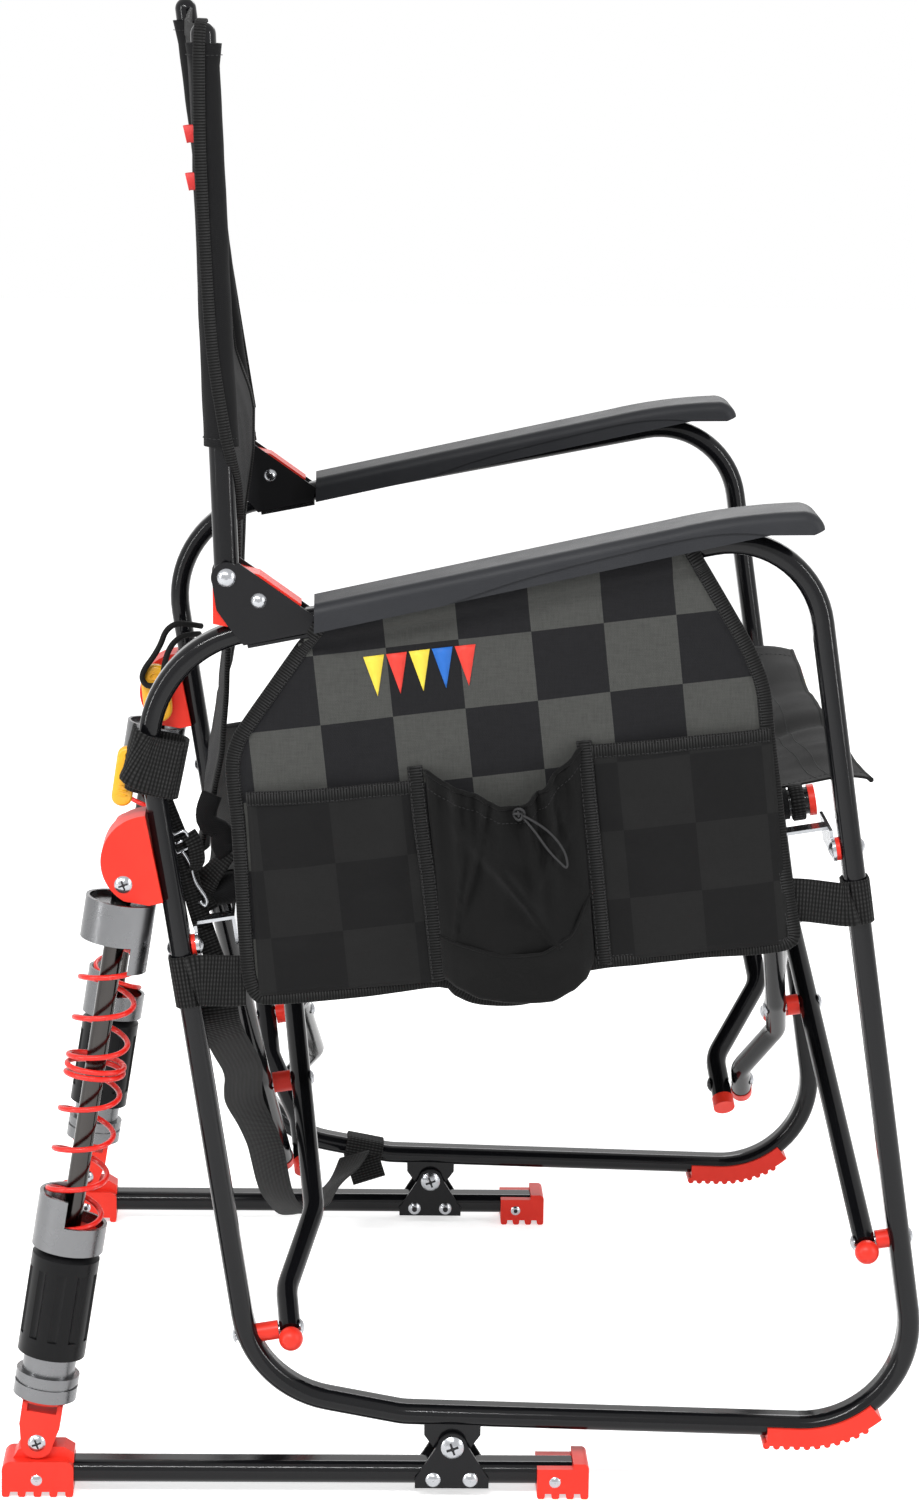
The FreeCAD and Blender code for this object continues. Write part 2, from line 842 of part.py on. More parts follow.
def cross_caps_a(left):
    # Ball ends at the lower hinges and the round spacers between the crossing legs
    low = (-half_width, 0.0)
    high = (0.0, top_centre_rise())
    solids = []
    for s, crank in ((leg_a_front, 0.0), (leg_a_rear, crank_a_rear)):
        y, h = beyond(high, low, 11.0)
        ball = cap_ball(s + crank, y, h)
        leg = leg_a_left(s, crank) if left else leg_a(s, crank)
        solids.append(ball.cut(leg).cut(pin_s(s - 80, s + 80, -half_width, 0, bolt_radius + running_gap)))
    for front, rear in ((leg_a_front, leg_b_front), (leg_a_rear, leg_b_rear)):
        spacer = pin_s(rear + leg_radius + 0.4, front - leg_radius - 0.1, -cross_half, cross_rise, 8.0)
        hole = pin_s(rear - 5, front + 5, -cross_half, cross_rise, bolt_radius + running_gap)
        solids.append(spacer.cut(hole))
    return group(solids)


def cross_fasteners_a(right):
    solids = []
    for front, rear in ((leg_a_front, leg_b_front), (leg_a_rear, leg_b_rear)):
        low = rear - leg_radius
        high = front + leg_radius
        solids.append(bolt_s(low - 0.4, high + 0.1, -cross_half, cross_rise, bolt_radius, 6.0))
    if right:
        start = leg_a_front + leg_radius + 0.05
        end = leg_a_front + side_by_side + leg_radius + 0.4
        shank = pin_s(start, end, 0, top_centre_rise(), 5.0)
        head = dome(fold_point(end, 0, top_centre_rise()), fold_axis(), 7.5, 2.6)
        solids.append(fuse([shank, head]))
        rear = fold_point(leg_a_rear - leg_radius, 0, top_centre_rise())
        solids.append(dome(rear, fold_axis() * -1, 6.0, 2.6))
    return group(solids)


def cross_caps_b(front_crank, rear_crank):
    # End cap of the seat rail and of the two lower leg ends
    cap = pin_s(rail_front_s + 0.1, rail_front_s + 5.0, -rail_half, rail_rise, seat_rail_radius + 1.6)
    solids = [cap]
    low = (0.0, low_centre_rise)
    cross = (-cross_half, cross_rise)
    for s, crank in ((leg_b_front, front_crank), (leg_b_rear, rear_crank)):
        y0, h0 = beyond(cross, low, 14.2)
        y1, h1 = beyond(cross, low, 24.0)
        base = fold_point(s + crank, y0, h0)
        tip = fold_point(s + crank, y1, h1)
        solids.append(Part.makeCylinder(leg_radius + 0.6, (tip - base).Length, base, tip - base))
    return group(solids)


def half_bolt(face, side, y, h):
    # A bolt seen from outside only: its head and the shank inside its own leg
    inner = face - side * 14.0
    shank = pin_s(min(inner, face), max(inner, face), y, h, bolt_radius)
    return fuse([shank, dome(fold_point(face, y, h), fold_axis() * side, 6.0, 2.6)])


def low_centre_bolts():
    # The two legs of the lower centre turn side by side, each with its own bolt head outside
    front = leg_b_front + crank_b_front + leg_radius
    rear = leg_b_rear - leg_radius
    return group([half_bolt(front, 1, 0, low_centre_rise), half_bolt(rear, -1, 0, low_centre_rise)])


# Ground rail and feet

def rail_block(x0, x1, grow):
    high = rail_high / 2 + grow
    wide = rail_wide / 2 + grow
    solid = box(x0, x1, -wide, wide, rail_middle - high, rail_middle + high)
    edges = [e for e in solid.Edges if abs(e.tangentAt(e.FirstParameter).x) > 0.9]
    return solid.makeFillet(rail_corner, edges)


def base_rail():
    solid = rail_block(rail_rear_end, rail_front_end, 0.0)
    for x, z in rocker_bolts():
        solid = solid.cut(pin_y(x, z, -40, 40, bolt_radius))
    return slide(solid, 0, -half_width, 0)


def rocker_bolts():
    return [(-24.0, 13.5), (3.7, 13.5)]


def teeth(x0, x1, count):
    # Small round-nosed lugs across the foot, each with a narrow flat sole on the ground
    radius = 3.0
    centre = radius - 0.6
    pitch = (x1 - x0 - 2 * radius) / (count - 1)
    half = foot_wide / 2
    solids = []
    for i in range(count):
        x = x0 + radius + pitch * i
        nose = pin_y(x, centre, -half, half, radius)
        solids.append(nose.cut(box(x - radius, x + radius, -half - 1, half + 1, -radius, 0)))
        solids.append(box(x - radius, x + radius, -half, half, centre, foot_tooth + 1))
    return solids


def round_top(body, top, radius):
    # Rounds the two upper cross edges of a foot
    edges = [e for e in body.Edges if abs(e.BoundBox.ZMin - top) < 0.1 and e.BoundBox.XLength < 0.1]
    return body.makeFillet(radius, edges)


def front_foot():
    # A cradle under the end of the rail: low side walls and a higher front wall
    half = foot_wide / 2
    body = box(front_foot_back, front_foot_front, -half, half, foot_tooth, front_foot_top)
    body = round_top(body, front_foot_top, 4.0)
    solid = fuse([body] + teeth(front_foot_back, front_foot_front, 4))
    solid = solid.cut(rail_block(front_foot_back - 5, rail_front_end, clearance))
    over = box(front_foot_back - 1, rail_front_end + clearance, -half - 1, half + 1, foot_wall_top, 40.0)
    solid = solid.cut(over)
    return slide(solid, 0, -half_width, 0)


def foot_lug():
    # Humped middle of the rear foot with the eye of the shock absorber's pin
    x, z = shock_foot
    shoulder = z - 4.5
    outline = [
        (rear_foot_back + 4, foot_tooth + 6),
        (rear_foot_back + 8, rear_foot_top),
        (x - 14.0, shoulder - 2.0),
        (x - 8.5, shoulder),
        (x + 20.0, shoulder),
        (rear_foot_front, shoulder - 4.5),
        (rear_foot_front, foot_tooth + 6),
    ]
    eye = pin_y(x, z, -lug_half, lug_half, 9.5)
    return fuse([plate(outline, -lug_half, lug_half), eye])


def rear_foot():
    half = foot_wide / 2
    x, z = shock_foot
    body = box(rear_foot_back, rear_foot_front, -half, half, foot_tooth, rear_foot_top)
    body = round_top(body, rear_foot_top, 7.0)
    solid = fuse([body, foot_lug()] + teeth(rear_foot_back, rear_foot_front, 5))
    solid = solid.cut(rail_block(rail_rear_end, rear_foot_front + 5, clearance))
    solid = solid.cut(pin_y(x, z, -30, 30, shock_pin))
    return slide(solid, 0, -half_width, 0)


def rocker_outline():
    # Broad at the rail, rising to the pivot
    x, z = rock_pivot
    wide = 27.5
    return [
        (x - wide, 7.0),
        (x + wide, 7.0),
        (x + wide, 14.0),
        (x + 9.0, z + 5),
        (x - 9.0, z + 5),
        (x - wide, 14.0),
    ]


def rocker_plates():
    # Two outer cheeks bolted to the rail, round the rocking pivot
    x, z = rock_pivot
    inner = rail_wide / 2 + 0.1
    solids = []
    for side in (-1, 1):
        y0 = inner if side > 0 else -inner - cheek
        flat = plate(rocker_outline(), y0, y0 + cheek)
        knob = pin_y(x, z, y0, y0 + cheek, 11.0)
        solid = fuse([flat, knob])
        for bx, bz in rocker_bolts():
            solid = solid.cut(pin_y(bx, bz, -40, 40, bolt_radius))
        solids.append(solid.cut(pin_y(x, z, -40, 40, pivot_radius)))
    return slide(group(solids), 0, -half_width, 0)


def base_fasteners():
    outer = rail_wide / 2 + 0.1 + cheek
    solids = []
    x, z = rock_pivot
    shank = pin_y(x, z, -outer, outer, pivot_radius)
    heads = [dome(vec(x, side * outer, z), vec(0, side, 0), 8.5, 3.4) for side in (-1, 1)]
    solids.append(fuse([shank] + heads))
    for bx, bz in rocker_bolts():
        shank = pin_y(bx, bz, -outer, outer, bolt_radius)
        heads = [dome(vec(bx, side * outer, bz), vec(0, side, 0), 5.6, 2.6) for side in (-1, 1)]
        solids.append(fuse([shank] + heads))
    x, z = shock_foot
    reach = lug_half + 0.3 + yoke_sheet + 0.1
    shank = pin_y(x, z, -reach, reach, shock_pin)
    heads = [dome(vec(x, side * reach, z), vec(0, side, 0), 6.5, 3.0) for side in (-1, 1)]
    solids.append(fuse([shank] + heads))
    half = foot_wide / 2
    for x, z in (((front_foot_back + rail_front_end) / 2, 13.0), (shock_foot[0], 13.0)):
        for side in (-1, 1):
            solids.append(dome(vec(x, side * half, z), vec(0, side, 0), 4.2, 1.6))
    return slide(group(solids), 0, -half_width, 0)


# Shock absorber, drawn upright on the origin and then leaned

def lean_shock(shape):
    dx = shock_top[0] - shock_foot[0]
    dz = shock_top[1] - shock_foot[1]
    leaned = shape.copy()
    leaned.rotate(vec(0, 0, 0), vec(0, 1, 0), math.degrees(math.atan2(dx, dz)))
    leaned.translate(vec(shock_foot[0], -half_width, shock_foot[1]))
    return leaned


def shock_length():
    return math.hypot(shock_top[0] - shock_foot[0], shock_top[1] - shock_foot[1])


def ring(radius, inner, low, high):
    outer = Part.makeCylinder(radius, high - low, vec(0, 0, low))
    return outer.cut(Part.makeCylinder(inner, high - low + 2, vec(0, 0, low - 1)))


def yoke_plate(side):
    # Rounded round the pin and spreading upwards
    near = lug_half + 0.3
    y0 = near if side > 0 else -near - yoke_sheet
    wide = 15.0
    outline = [(-12.0, 0), (12.0, 0), (wide, 14.0), (wide, 24.0), (-wide, 24.0), (-wide, 14.0)]
    sides = plate(outline, y0, y0 + yoke_sheet)
    return sides.fuse(pin_y(0, 0, y0, y0 + yoke_sheet, 12.0))


def shock_yoke():
    # A fork over the foot's lug: two plates, a web and two arms up to the foot ring
    outer = lug_half + 0.3 + yoke_sheet
    wide = 15.0
    pieces = [yoke_plate(-1), yoke_plate(1), box(-wide, wide, -outer, outer, 12.5, 24.0)]
    for x in (-wide, wide - 4.0):
        pieces.append(box(x, x + 4.0, -outer, outer, 23.0, 31.0))
    pieces.append(Part.makeCylinder(18.0, 3.6, vec(0, 0, 30.4)))
    solid = fuse(pieces)
    solid = solid.cut(pin_y(0, 0, -20, 20, shock_pin + running_gap))
    seat = ring(lower_cup_radius - cup_wall - 0.4, bore_radius, barrel_high + 6.1, spring_low - 0.2)
    return lean_shock(group([solid, seat]))


def shock_alloy():
    # Foot ring with its groove, sleeve, and the half-open cup that holds the spring
    foot_ring = ring(23.5, bore_radius, 38.5, 53.0)
    floor = Part.makeCylinder(23.5, 4.4, vec(0, 0, 34.1))
    groove = ring(26.0, 22.3, 44.0, 46.5)
    sleeve = ring(19.5, bore_radius, 53.0, barrel_low)
    base = fuse([foot_ring, floor, sleeve]).cut(groove)
    rim = barrel_high + 21.0
    cup = ring(lower_cup_radius, bore_radius, barrel_high, rim)
    cup = cup.cut(Part.makeCylinder(lower_cup_radius - cup_wall, 40.0, vec(0, 0, barrel_high + 6.0)))
    tab = ring(lower_cup_radius, lower_cup_radius - cup_wall, rim - 0.5, rim + 20.0)
    tab = tab.common(box(-40, -4.0, -30.0, 30.0, rim - 1, rim + 30))
    return lean_shock(group([base, fuse([cup, tab])]))


def shock_body():
    barrel = ring(barrel_radius, bore_radius, barrel_low + 0.1, barrel_high - 0.1)
    round_edge = 2 * math.pi * barrel_radius
    rims = [e for e in barrel.Edges if abs(e.Length - round_edge) < 0.5 and len(e.Vertexes) == 1]
    top = [e for e in rims if e.BoundBox.ZMin > barrel_high - 1]
    barrel = barrel.makeChamfer(6.0, top)
    for i in range(10):
        angle = math.radians(36.0 * i + 18)
        reach = barrel_radius + 3.2
        centre = vec(reach * math.cos(angle), reach * math.sin(angle), barrel_low + 14.0)
        barrel = barrel.cut(Part.makeCylinder(5.0, 52.0, centre))
    return lean_shock(barrel)


def shock_rod():
    top = shock_length()
    low = barrel_low + 52.0
    stem = Part.makeCylinder(rod_radius, top - low - 4.0, vec(0, 0, low))
    eye = pin_y(0, top, -8.0, 8.0, 9.0)
    return lean_shock(fuse([stem, eye]))


def shock_collar():
    # Upper cup, closed by a floor just below its rim, with a half-round skirt in front
    inner = cup_radius - cup_wall
    low = spring_high - 10.0
    cup = ring(cup_radius, inner, low, spring_high + 21.0)
    floor = ring(cup_radius - 0.5, rod_radius + running_gap, spring_high + 0.6, spring_high + 17.0)
    tab = ring(cup_radius, inner, low - 20.0, low + 0.5).common(box(12.5, 40, -30.0, 30.0, low - 21, low + 1))
    return lean_shock(fuse([cup, floor, tab]))


def spring_height(turn):
    # Open turns above and below two nearly closed turns in the middle
    total = 0.0
    steps = int(turn * 24)
    for i in range(steps):
        total += pitch_at((i + 0.5) / 24) / 24
    total += pitch_at(turn) * (turn - steps / 24)
    return total


def pitch_at(turn):
    blend = 1 / (1 + (turn - packed_turn) ** 8)
    return open_pitch + (packed_pitch - open_pitch) * blend


def biarc(p0, t0, p1, t1):
    # Two arcs of equal reach that join two points and directions smoothly
    v = p1 - p0
    t = t0 + t1
    a = 2 * (1 - t0.dot(t1))
    b = 2 * v.dot(t)
    c = -v.dot(v)
    d = (-b + math.sqrt(b * b - 4 * a * c)) / (2 * a) if a > 1e-9 else -c / b
    joint = (p0 + t0 * d + p1 - t1 * d) * 0.5
    return [arc_from(p0, t0, joint), arc_from(joint, None, p1, t1)]


def arc_from(start, tangent, end, end_tangent=None):
    # The arc that leaves start along tangent, or reaches end along end_tangent
    chord = end - start
    if tangent is None:
        reverse = arc_middle(end, end_tangent * -1, start)
        return Part.Arc(start, reverse, end).toShape()
    return Part.Arc(start, arc_middle(start, tangent, end), end).toShape()


def arc_middle(start, tangent, end):
    chord = end - start
    length = chord.Length
    unit = chord * (1 / length)
    cosine = max(-1.0, min(1.0, tangent.dot(unit)))
    half_angle = math.acos(cosine)
    side = tangent - unit * cosine
    if side.Length < 1e-9:
        return (start + end) * 0.5
    side.normalize()
    return (start + end) * 0.5 + side * (length / 2 * math.tan(half_angle / 2))


def spring_path(turns, scale):
    def angle_at(turn):
        # Both ends lie where the photographed spring's do
        return 2 * math.pi * (turn - turns + 0.22) + math.pi

    def point(turn):
        angle = angle_at(turn)
        z = spring_low + spring_wire / 2 + 1.3 + spring_height(turn) * scale
        return vec(spring_radius * math.cos(angle), spring_radius * math.sin(angle), z)

    def tangent(turn):
        angle = angle_at(turn)
        rise = pitch_at(turn) * scale / (2 * math.pi)
        direction = vec(-spring_radius * math.sin(angle), spring_radius * math.cos(angle), rise)
        direction.normalize()
        return direction

    edges = []
    count = int(turns * 4)
    step = turns / count
    first = point(0) - tangent(0) * spring_wire
    edges.append(Part.makeLine(first, point(0)))
    for i in range(count):
        a = i * step
        b = a + step
        edges += biarc(point(a), tangent(a), point(b), tangent(b))
    last = point(turns) + tangent(turns) * spring_wire
    edges.append(Part.makeLine(point(turns), last))
    return edges, first, tangent(0)


def shock_spring():
    room = spring_high - spring_low - spring_wire - 3.2
    scale = room / spring_height(spring_turns)
    edges, first, direction = spring_path(spring_turns, scale)
    print_spring_gap(edges)
    profile = Part.Wire(Part.makeCircle(spring_wire / 2, first, direction))
    tube = Part.Wire(edges).makePipeShell([profile], True, False)
    return lean_shock(tube)


def print_spring_gap(edges):
    points = []
    for edge in edges:
        points += edge.discretize(8)[:-1]
    best = 1e9
    for i, p in enumerate(points):
        for q in points[i + 28:]:
            gap = (p - q).Length
            if gap < best:
                best = gap
    print("least spring self-gap %.2f mm" % (best - spring_wire))


# Cloth parts

def rail_point(x):
    # Height of the seat rail's axis at X
    start = fold_point(0, 0, rail_rise)
    return start.z + math.tan(math.radians(fold_tilt)) * (x - start.x)


def arc_rib(right, middle, left, lift):
    # A curved strip outline from right to left through middle, lift thick
    edges = [
        Part.Arc(right, middle, left).toShape(),
        Part.makeLine(left, left + lift),
        Part.Arc(left + lift, middle + lift, right + lift).toShape(),
        Part.makeLine(right + lift, right),
    ]
    return Part.Wire(edges)


def seat_rib(x, half, sag):
    z = rail_point(x) + (seat_rail_radius + 1.9) / math.cos(math.radians(fold_tilt))
    right = vec(x, -half, z)
    left = vec(x, half, z)
    return arc_rib(right, vec(x, 0, z - sag), left, vec(0, 0, cloth))


def seat_cloth():
    # Sagging bed between the rails with a sewn sleeve round each rail and a lip in front
    ribs = [
        (seat_rear, rail_half, 40.0),
        (-100.0, rail_half, 48.0),
        (0.0, rail_half, 48.0),
        (100.0, rail_half, 42.0),
        (190.0, rail_half, 32.0),
        (238.0, rail_half - 2, 26.0),
        (seat_front, rail_half - 14.0, 18.0),
    ]
    solid = Part.makeLoft([seat_rib(*rib) for rib in ribs], True, False)
    sleeves = []
    for side in (-1, 1):
        outer = pin_s(rail_rear_s + 5.0, rail_front_s - 15.0, side * rail_half, rail_rise, 13.2)
        sleeves.append(outer)
    solid = solid.multiFuse(sleeves)
    for side in (-1, 1):
        solid = solid.cut(pin_s(-140.0, 340.0, side * rail_half, rail_rise, seat_rail_radius + clearance))
        for s in (leg_b_front, leg_b_rear):
            start = fold_point(s, side * rail_half, rail_rise)
            end = fold_point(s, side * cross_half, cross_rise)
            solid = solid.cut(Part.makeCylinder(leg_radius + 0.5, 60.0, start, end - start))
    return solid.removeSplitter()


def post_point(side, z):
    lean = post_lean_right if side < 0 else post_lean_left
    x = post_pivot[0] - (z - post_pivot[1]) * math.tan(math.radians(lean))
    return vec(x, side * half_width, z)


def back_rib(z, sag):
    # One level of the back cloth between the two leaning posts
    inset = vec(0, post_radius + 2.0, 0)
    right = post_point(-1, z) + inset
    left = post_point(1, z) - inset
    middle = (right + left) * 0.5 + vec(-sag, 0, 0)
    return arc_rib(right, middle, left, vec(cloth, 0, 0))


def low_back_rib(x, z, half, sag):
    right = vec(x, -half, z)
    left = vec(x, half, z)
    return arc_rib(right, vec(x - sag, 0, z), left, vec(cloth, 0, 0))


def back_hem():
    # Everything below the curved seam where the back meets the seat
    wide = half_width - 40.0
    edges = [
        Part.Arc(vec(-260, -wide, 480), vec(-260, 0, 428), vec(-260, wide, 480)).toShape(),
        Part.makeLine(vec(-260, wide, 480), vec(-260, wide, 400)),
        Part.makeLine(vec(-260, wide, 400), vec(-260, -wide, 400)),
        Part.makeLine(vec(-260, -wide, 400), vec(-260, -wide, 480)),
    ]
    return Part.Face(Part.Wire(edges)).extrude(vec(120, 0, 0))


def back_cloth():
    # Slung between the posts, open below them down to the seat
    levels = ((1066.0, 14.0), (980.0, 24.0), (890.0, 30.0), (800.0, 34.0), (714.0, 30.0))
    solid = Part.makeLoft([back_rib(z, sag) for z, sag in levels], True, False)
    low = [
        back_rib(714.0, 30.0),
        low_back_rib(-180.0, 660.0, half_width - 28.0, 28.0),
        low_back_rib(-181.0, 560.0, half_width - 46.0, 26.0),
        low_back_rib(-190.0, 510.0, half_width - 58.0, 14.0),
        low_back_rib(seat_rear - 0.8 - cloth, 470.0, half_width - 68.0, 2.0),
        low_back_rib(seat_rear - 0.8 - cloth, 420.0, half_width - 68.0, 2.0),
    ]
    skirt = Part.makeLoft(low, True, False).cut(back_hem())
    solid = solid.fuse(skirt)
    for side, lean in ((-1, post_lean_right), (1, post_lean_left)):
        axis = post_axis(lean)
        base = post_point(side, sleeve_foot)
        sleeve = Part.makeCylinder(post_radius + 3.0, (post_top - sleeve_foot - 1.0) / axis.z, base, axis)
        solid = solid.fuse(sleeve)
    for side, lean in ((-1, post_lean_right), (1, post_lean_left)):
        solid = solid.cut(slide(post_tube(lean, post_radius + clearance), 0, side * half_width, 0))
    return solid.removeSplitter()


def panel_outline():
    return [
        (-112.0, top_line(-112.0) - tube_high / 2 - 0.4),
        (150.0, top_line(150.0) - tube_high / 2 - 0.4),
        (199.0, 643.0),
        (213.0, 592.0),
        (224.0, 496.0),
        (233.0, 428.0),
        (224.0, 421.0),
        (92.0, 408.0),
        (-14.0, 392.5),
        (-140.0, 377.0),
        (-157.0, 384.0),
        (-163.0, 392.0),
        (-171.0, 492.0),
        (-178.0, 543.0),
        (-168.0, 591.0),
    ]


def side_panel():
    sheet = plate(panel_outline(), panel_face, panel_face + cloth)
    return group([sheet] + panel_webbing())


def panel_pockets():
    # Two flat pockets and a rounder one for a bottle, all open at the top
    left = pocket([(-158.0, 384.0), (-36.0, 398.0), (-36.0, 536.0), (-168.0, 543.0), (-163.0, 460.0)], 8.0)
    right = pocket([(92.0, 413.0), (224.0, 428.0), (214.0, 500.0), (206.0, 574.0), (92.0, 563.0)], 8.0)
    return group([left, right, bottle_pocket()])


def pocket(outline, depth):
    # A sewn patch standing off the panel, hollow and open along its upper edge
    wall = 1.8
    shell = plate(outline, panel_face - depth, panel_face - 0.1)
    middle_x = sum(p[0] for p in outline) / len(outline)
    low_z = min(p[1] for p in outline)
    inner = []
    for x, z in outline:
        step = wall * 2 if x < middle_x else -wall * 2
        rise = 12.0 if z > low_z + 90 else wall * 2
        inner.append((x + step, z + rise))
    hollow = plate(inner, panel_face - depth + wall, panel_face + 1)
    return shell.cut(hollow)


def bottle_section(x, z, half, depth, wall):
    # A bulging outline standing out from the panel
    flat = panel_face - 0.1 + (0.5 if wall else 0)
    a = vec(x - half + wall, flat, z)
    b = vec(x + half - wall, flat, z)
    middle = vec(x, panel_face - depth + wall, z)
    return Part.Wire([Part.Arc(a, middle, b).toShape(), Part.makeLine(b, a)])


def bottle_pocket():
    # Each level: middle X, height, half width and depth; the rim is drawn in a little
    levels = [
        (28.0, 384.0, 44.0, 27.0),
        (28.0, 420.0, 54.0, 35.0),
        (26.0, 480.0, 54.0, 35.0),
        (25.0, 522.0, 50.0, 30.0),
    ]
    shell = Part.makeLoft([bottle_section(*level, 0) for level in levels], True, False)
    inner = [(x, z + lift, half, depth) for (x, z, half, depth), lift in zip(levels, (3.0, 0.0, 0.0, 4.0))]
    hollow = Part.makeLoft([bottle_section(*level, 1.8) for level in inner], True, False)
    return shell.cut(hollow)


def webbing_loop(low, high, z, half_tall, tail_end):
    # Flat webbing round an upright with a tail sewn on the panel
    x = upright_x(low, high, z)
    lean = math.degrees(math.atan2(high[0] - low[0], high[1] - low[1]))
    inner_x = tube_high / 2 + 0.4
    inner_y = tube_wide / 2 + 0.4
    wall = 2.0
    block = box(-inner_x - wall, inner_x + wall, -inner_y - wall, inner_y + wall, -half_tall, half_tall)
    block = block.cut(box(-inner_x, inner_x, -inner_y, inner_y, -half_tall - 1, half_tall + 1))
    block.rotate(vec(0, 0, 0), vec(0, 1, 0), lean)
    block.translate(vec(x, -half_width, z))
    side = 1 if tail_end > x else -1
    start = side * (inner_x + 1.2)
    foot = z - half_tall + 3
    top = z + half_tall - 3
    outline = [
        (upright_x(low, high, foot) + start, foot),
        (tail_end, foot),
        (tail_end, top),
        (upright_x(low, high, top) + start, top),
    ]
    tail = plate(outline, panel_face - 2.1, panel_face - 0.1)
    return fuse([block, tail])


def panel_webbing():
    rear = webbing_loop(rear_low, rear_top, 389.0, 17.5, -160.0)
    front = webbing_loop(front_low, front_top, 454.0, 18.0, 226.0)
    return [rear, front, clip_band()]


def upright_lean():
    return math.degrees(math.atan2(rear_top[0] - rear_low[0], rear_top[1] - rear_low[1]))


def clip_band():
    # Hook and loop strap round the rear upright and the lock clip behind it
    wall = 2.0
    half_tall = 17.0
    front = tube_high / 2 + 1.2
    back = tube_high / 2 + clip_deep + 0.4
    inner_y = tube_wide / 2 + clearance
    band = box(-back - wall, front + wall, -inner_y - wall, inner_y + wall, -half_tall, half_tall)
    band = band.cut(box(-back, front, -inner_y, inner_y, -half_tall - 1, half_tall + 1))
    band.rotate(vec(0, 0, 0), vec(0, 1, 0), upright_lean())
    return slide(band, upright_x(rear_low, rear_top, clip_height), -half_width, clip_height)


def carry_strap():
    # Wide webbing hanging slack from the near webbing loop to a loop round the far sole tube
    width = 32.0
    near = half_width - tube_wide / 2 - 4.1
    points = [
        vec(-187.0, -near, 400.0),
        vec(-186.0, -near, 378.0),
        vec(-181.0, -near + 20.0, 340.0),
        vec(-165.0, -0.42 * half_width, 240.0),
        vec(-138.0, 0.0, 120.0),
        vec(-118.0, 120.0, 74.0),
        vec(-92.0, half_width - 70.0, 58.0),
        vec(-72.0, half_width - tube_wide / 2 - 1.4, 64.0),
    ]
    curve = Part.BSplineCurve()
    curve.interpolate(points)
    start = curve.value(curve.FirstParameter)
    along = curve.tangent(curve.FirstParameter)[0]
    across = vec(1, 0, 0) * (width / 2)
    thick = across.cross(along)
    thick.normalize()
    corners = [start - across, start + across, start + across + thick * 2.0, start - across + thick * 2.0]
    profile = Part.makePolygon(corners + [corners[0]])
    sweep = Part.BRepOffsetAPI.MakePipeShell(Part.Wire(curve.toShape()))
    sweep.setBiNormalMode(vec(1, 0, 0))
    sweep.add(profile)
    sweep.build()
    sweep.makeSolid()
    return fuse([Part.Solid(sweep.shape()), sole_loop()])


def sole_loop():
    # The strap's end, sewn into a loop round the far frame's sole tube
    x = -70.0
    slope = math.atan2(sole_bend[1] - rear_low[1], sole_bend[0] - rear_low[0])
    z = rear_low[1] + (x - rear_low[0]) * math.tan(slope)
    inner_z = tube_high / 2 + clearance
    inner_y = tube_wide / 2 + clearance
    wall = 1.6
    band = box(-17.0, 17.0, -inner_y - wall, inner_y + wall, -inner_z - wall, inner_z + wall)
    band = band.cut(box(-18.0, 18.0, -inner_y, inner_y, -inner_z, inner_z))
    band.rotate(vec(0, 0, 0), vec(0, 1, 0), -math.degrees(slope))
    return slide(band, x, half_width, z)


def lock_clip(x, y, z, lean):
    # Yellow moulded catch, a slim body with a rounded nose and a finger hook
    half = clip_deep / 2
    edges = [
        Part.makeLine(vec(-half, 0, 20), vec(-half, 0, -17)),
        Part.Arc(vec(-half, 0, -17), vec(0, 0, -24.5), vec(half, 0, -17)).toShape(),
        Part.makeLine(vec(half, 0, -17), vec(half, 0, 20)),
        Part.Arc(vec(half, 0, 20), vec(0, 0, 25), vec(-half, 0, 20)).toShape(),
    ]
    face = Part.Face(Part.Wire(edges))
    face.translate(vec(0, -6, 0))
    solid = face.extrude(vec(0, 12, 0))
    solid = solid.cut(box(-2.5, 3.0, -10, 10, 12, 19))
    solid.rotate(vec(0, 0, 0), vec(0, 1, 0), lean)
    return slide(solid, x, y, z)


def lock_clips():
    # The near clip sits behind its upright inside the band, the far one hangs inside its upright
    lean = upright_lean()
    low = clip_height - 6.0
    back = (tube_high / 2 + 0.2 + clip_deep / 2) / math.cos(math.radians(lean))
    near = lock_clip(upright_x(rear_low, rear_top, low) - back, -half_width, low, lean)
    far = lock_clip(-257.0, half_width - 26.0, 484.0, 8.0)
    return near, far


def save(name, shape):
    shape.exportStep("parts/" + name + ".step")
    ok = all(s.isValid() for s in shape.Solids)
    print(name, len(shape.Solids), "solids", "ok" if ok else "NOT VALID")


def both(name, shape):
    save(name + "_right", shape)
    save(name + "_left", mirror(shape))


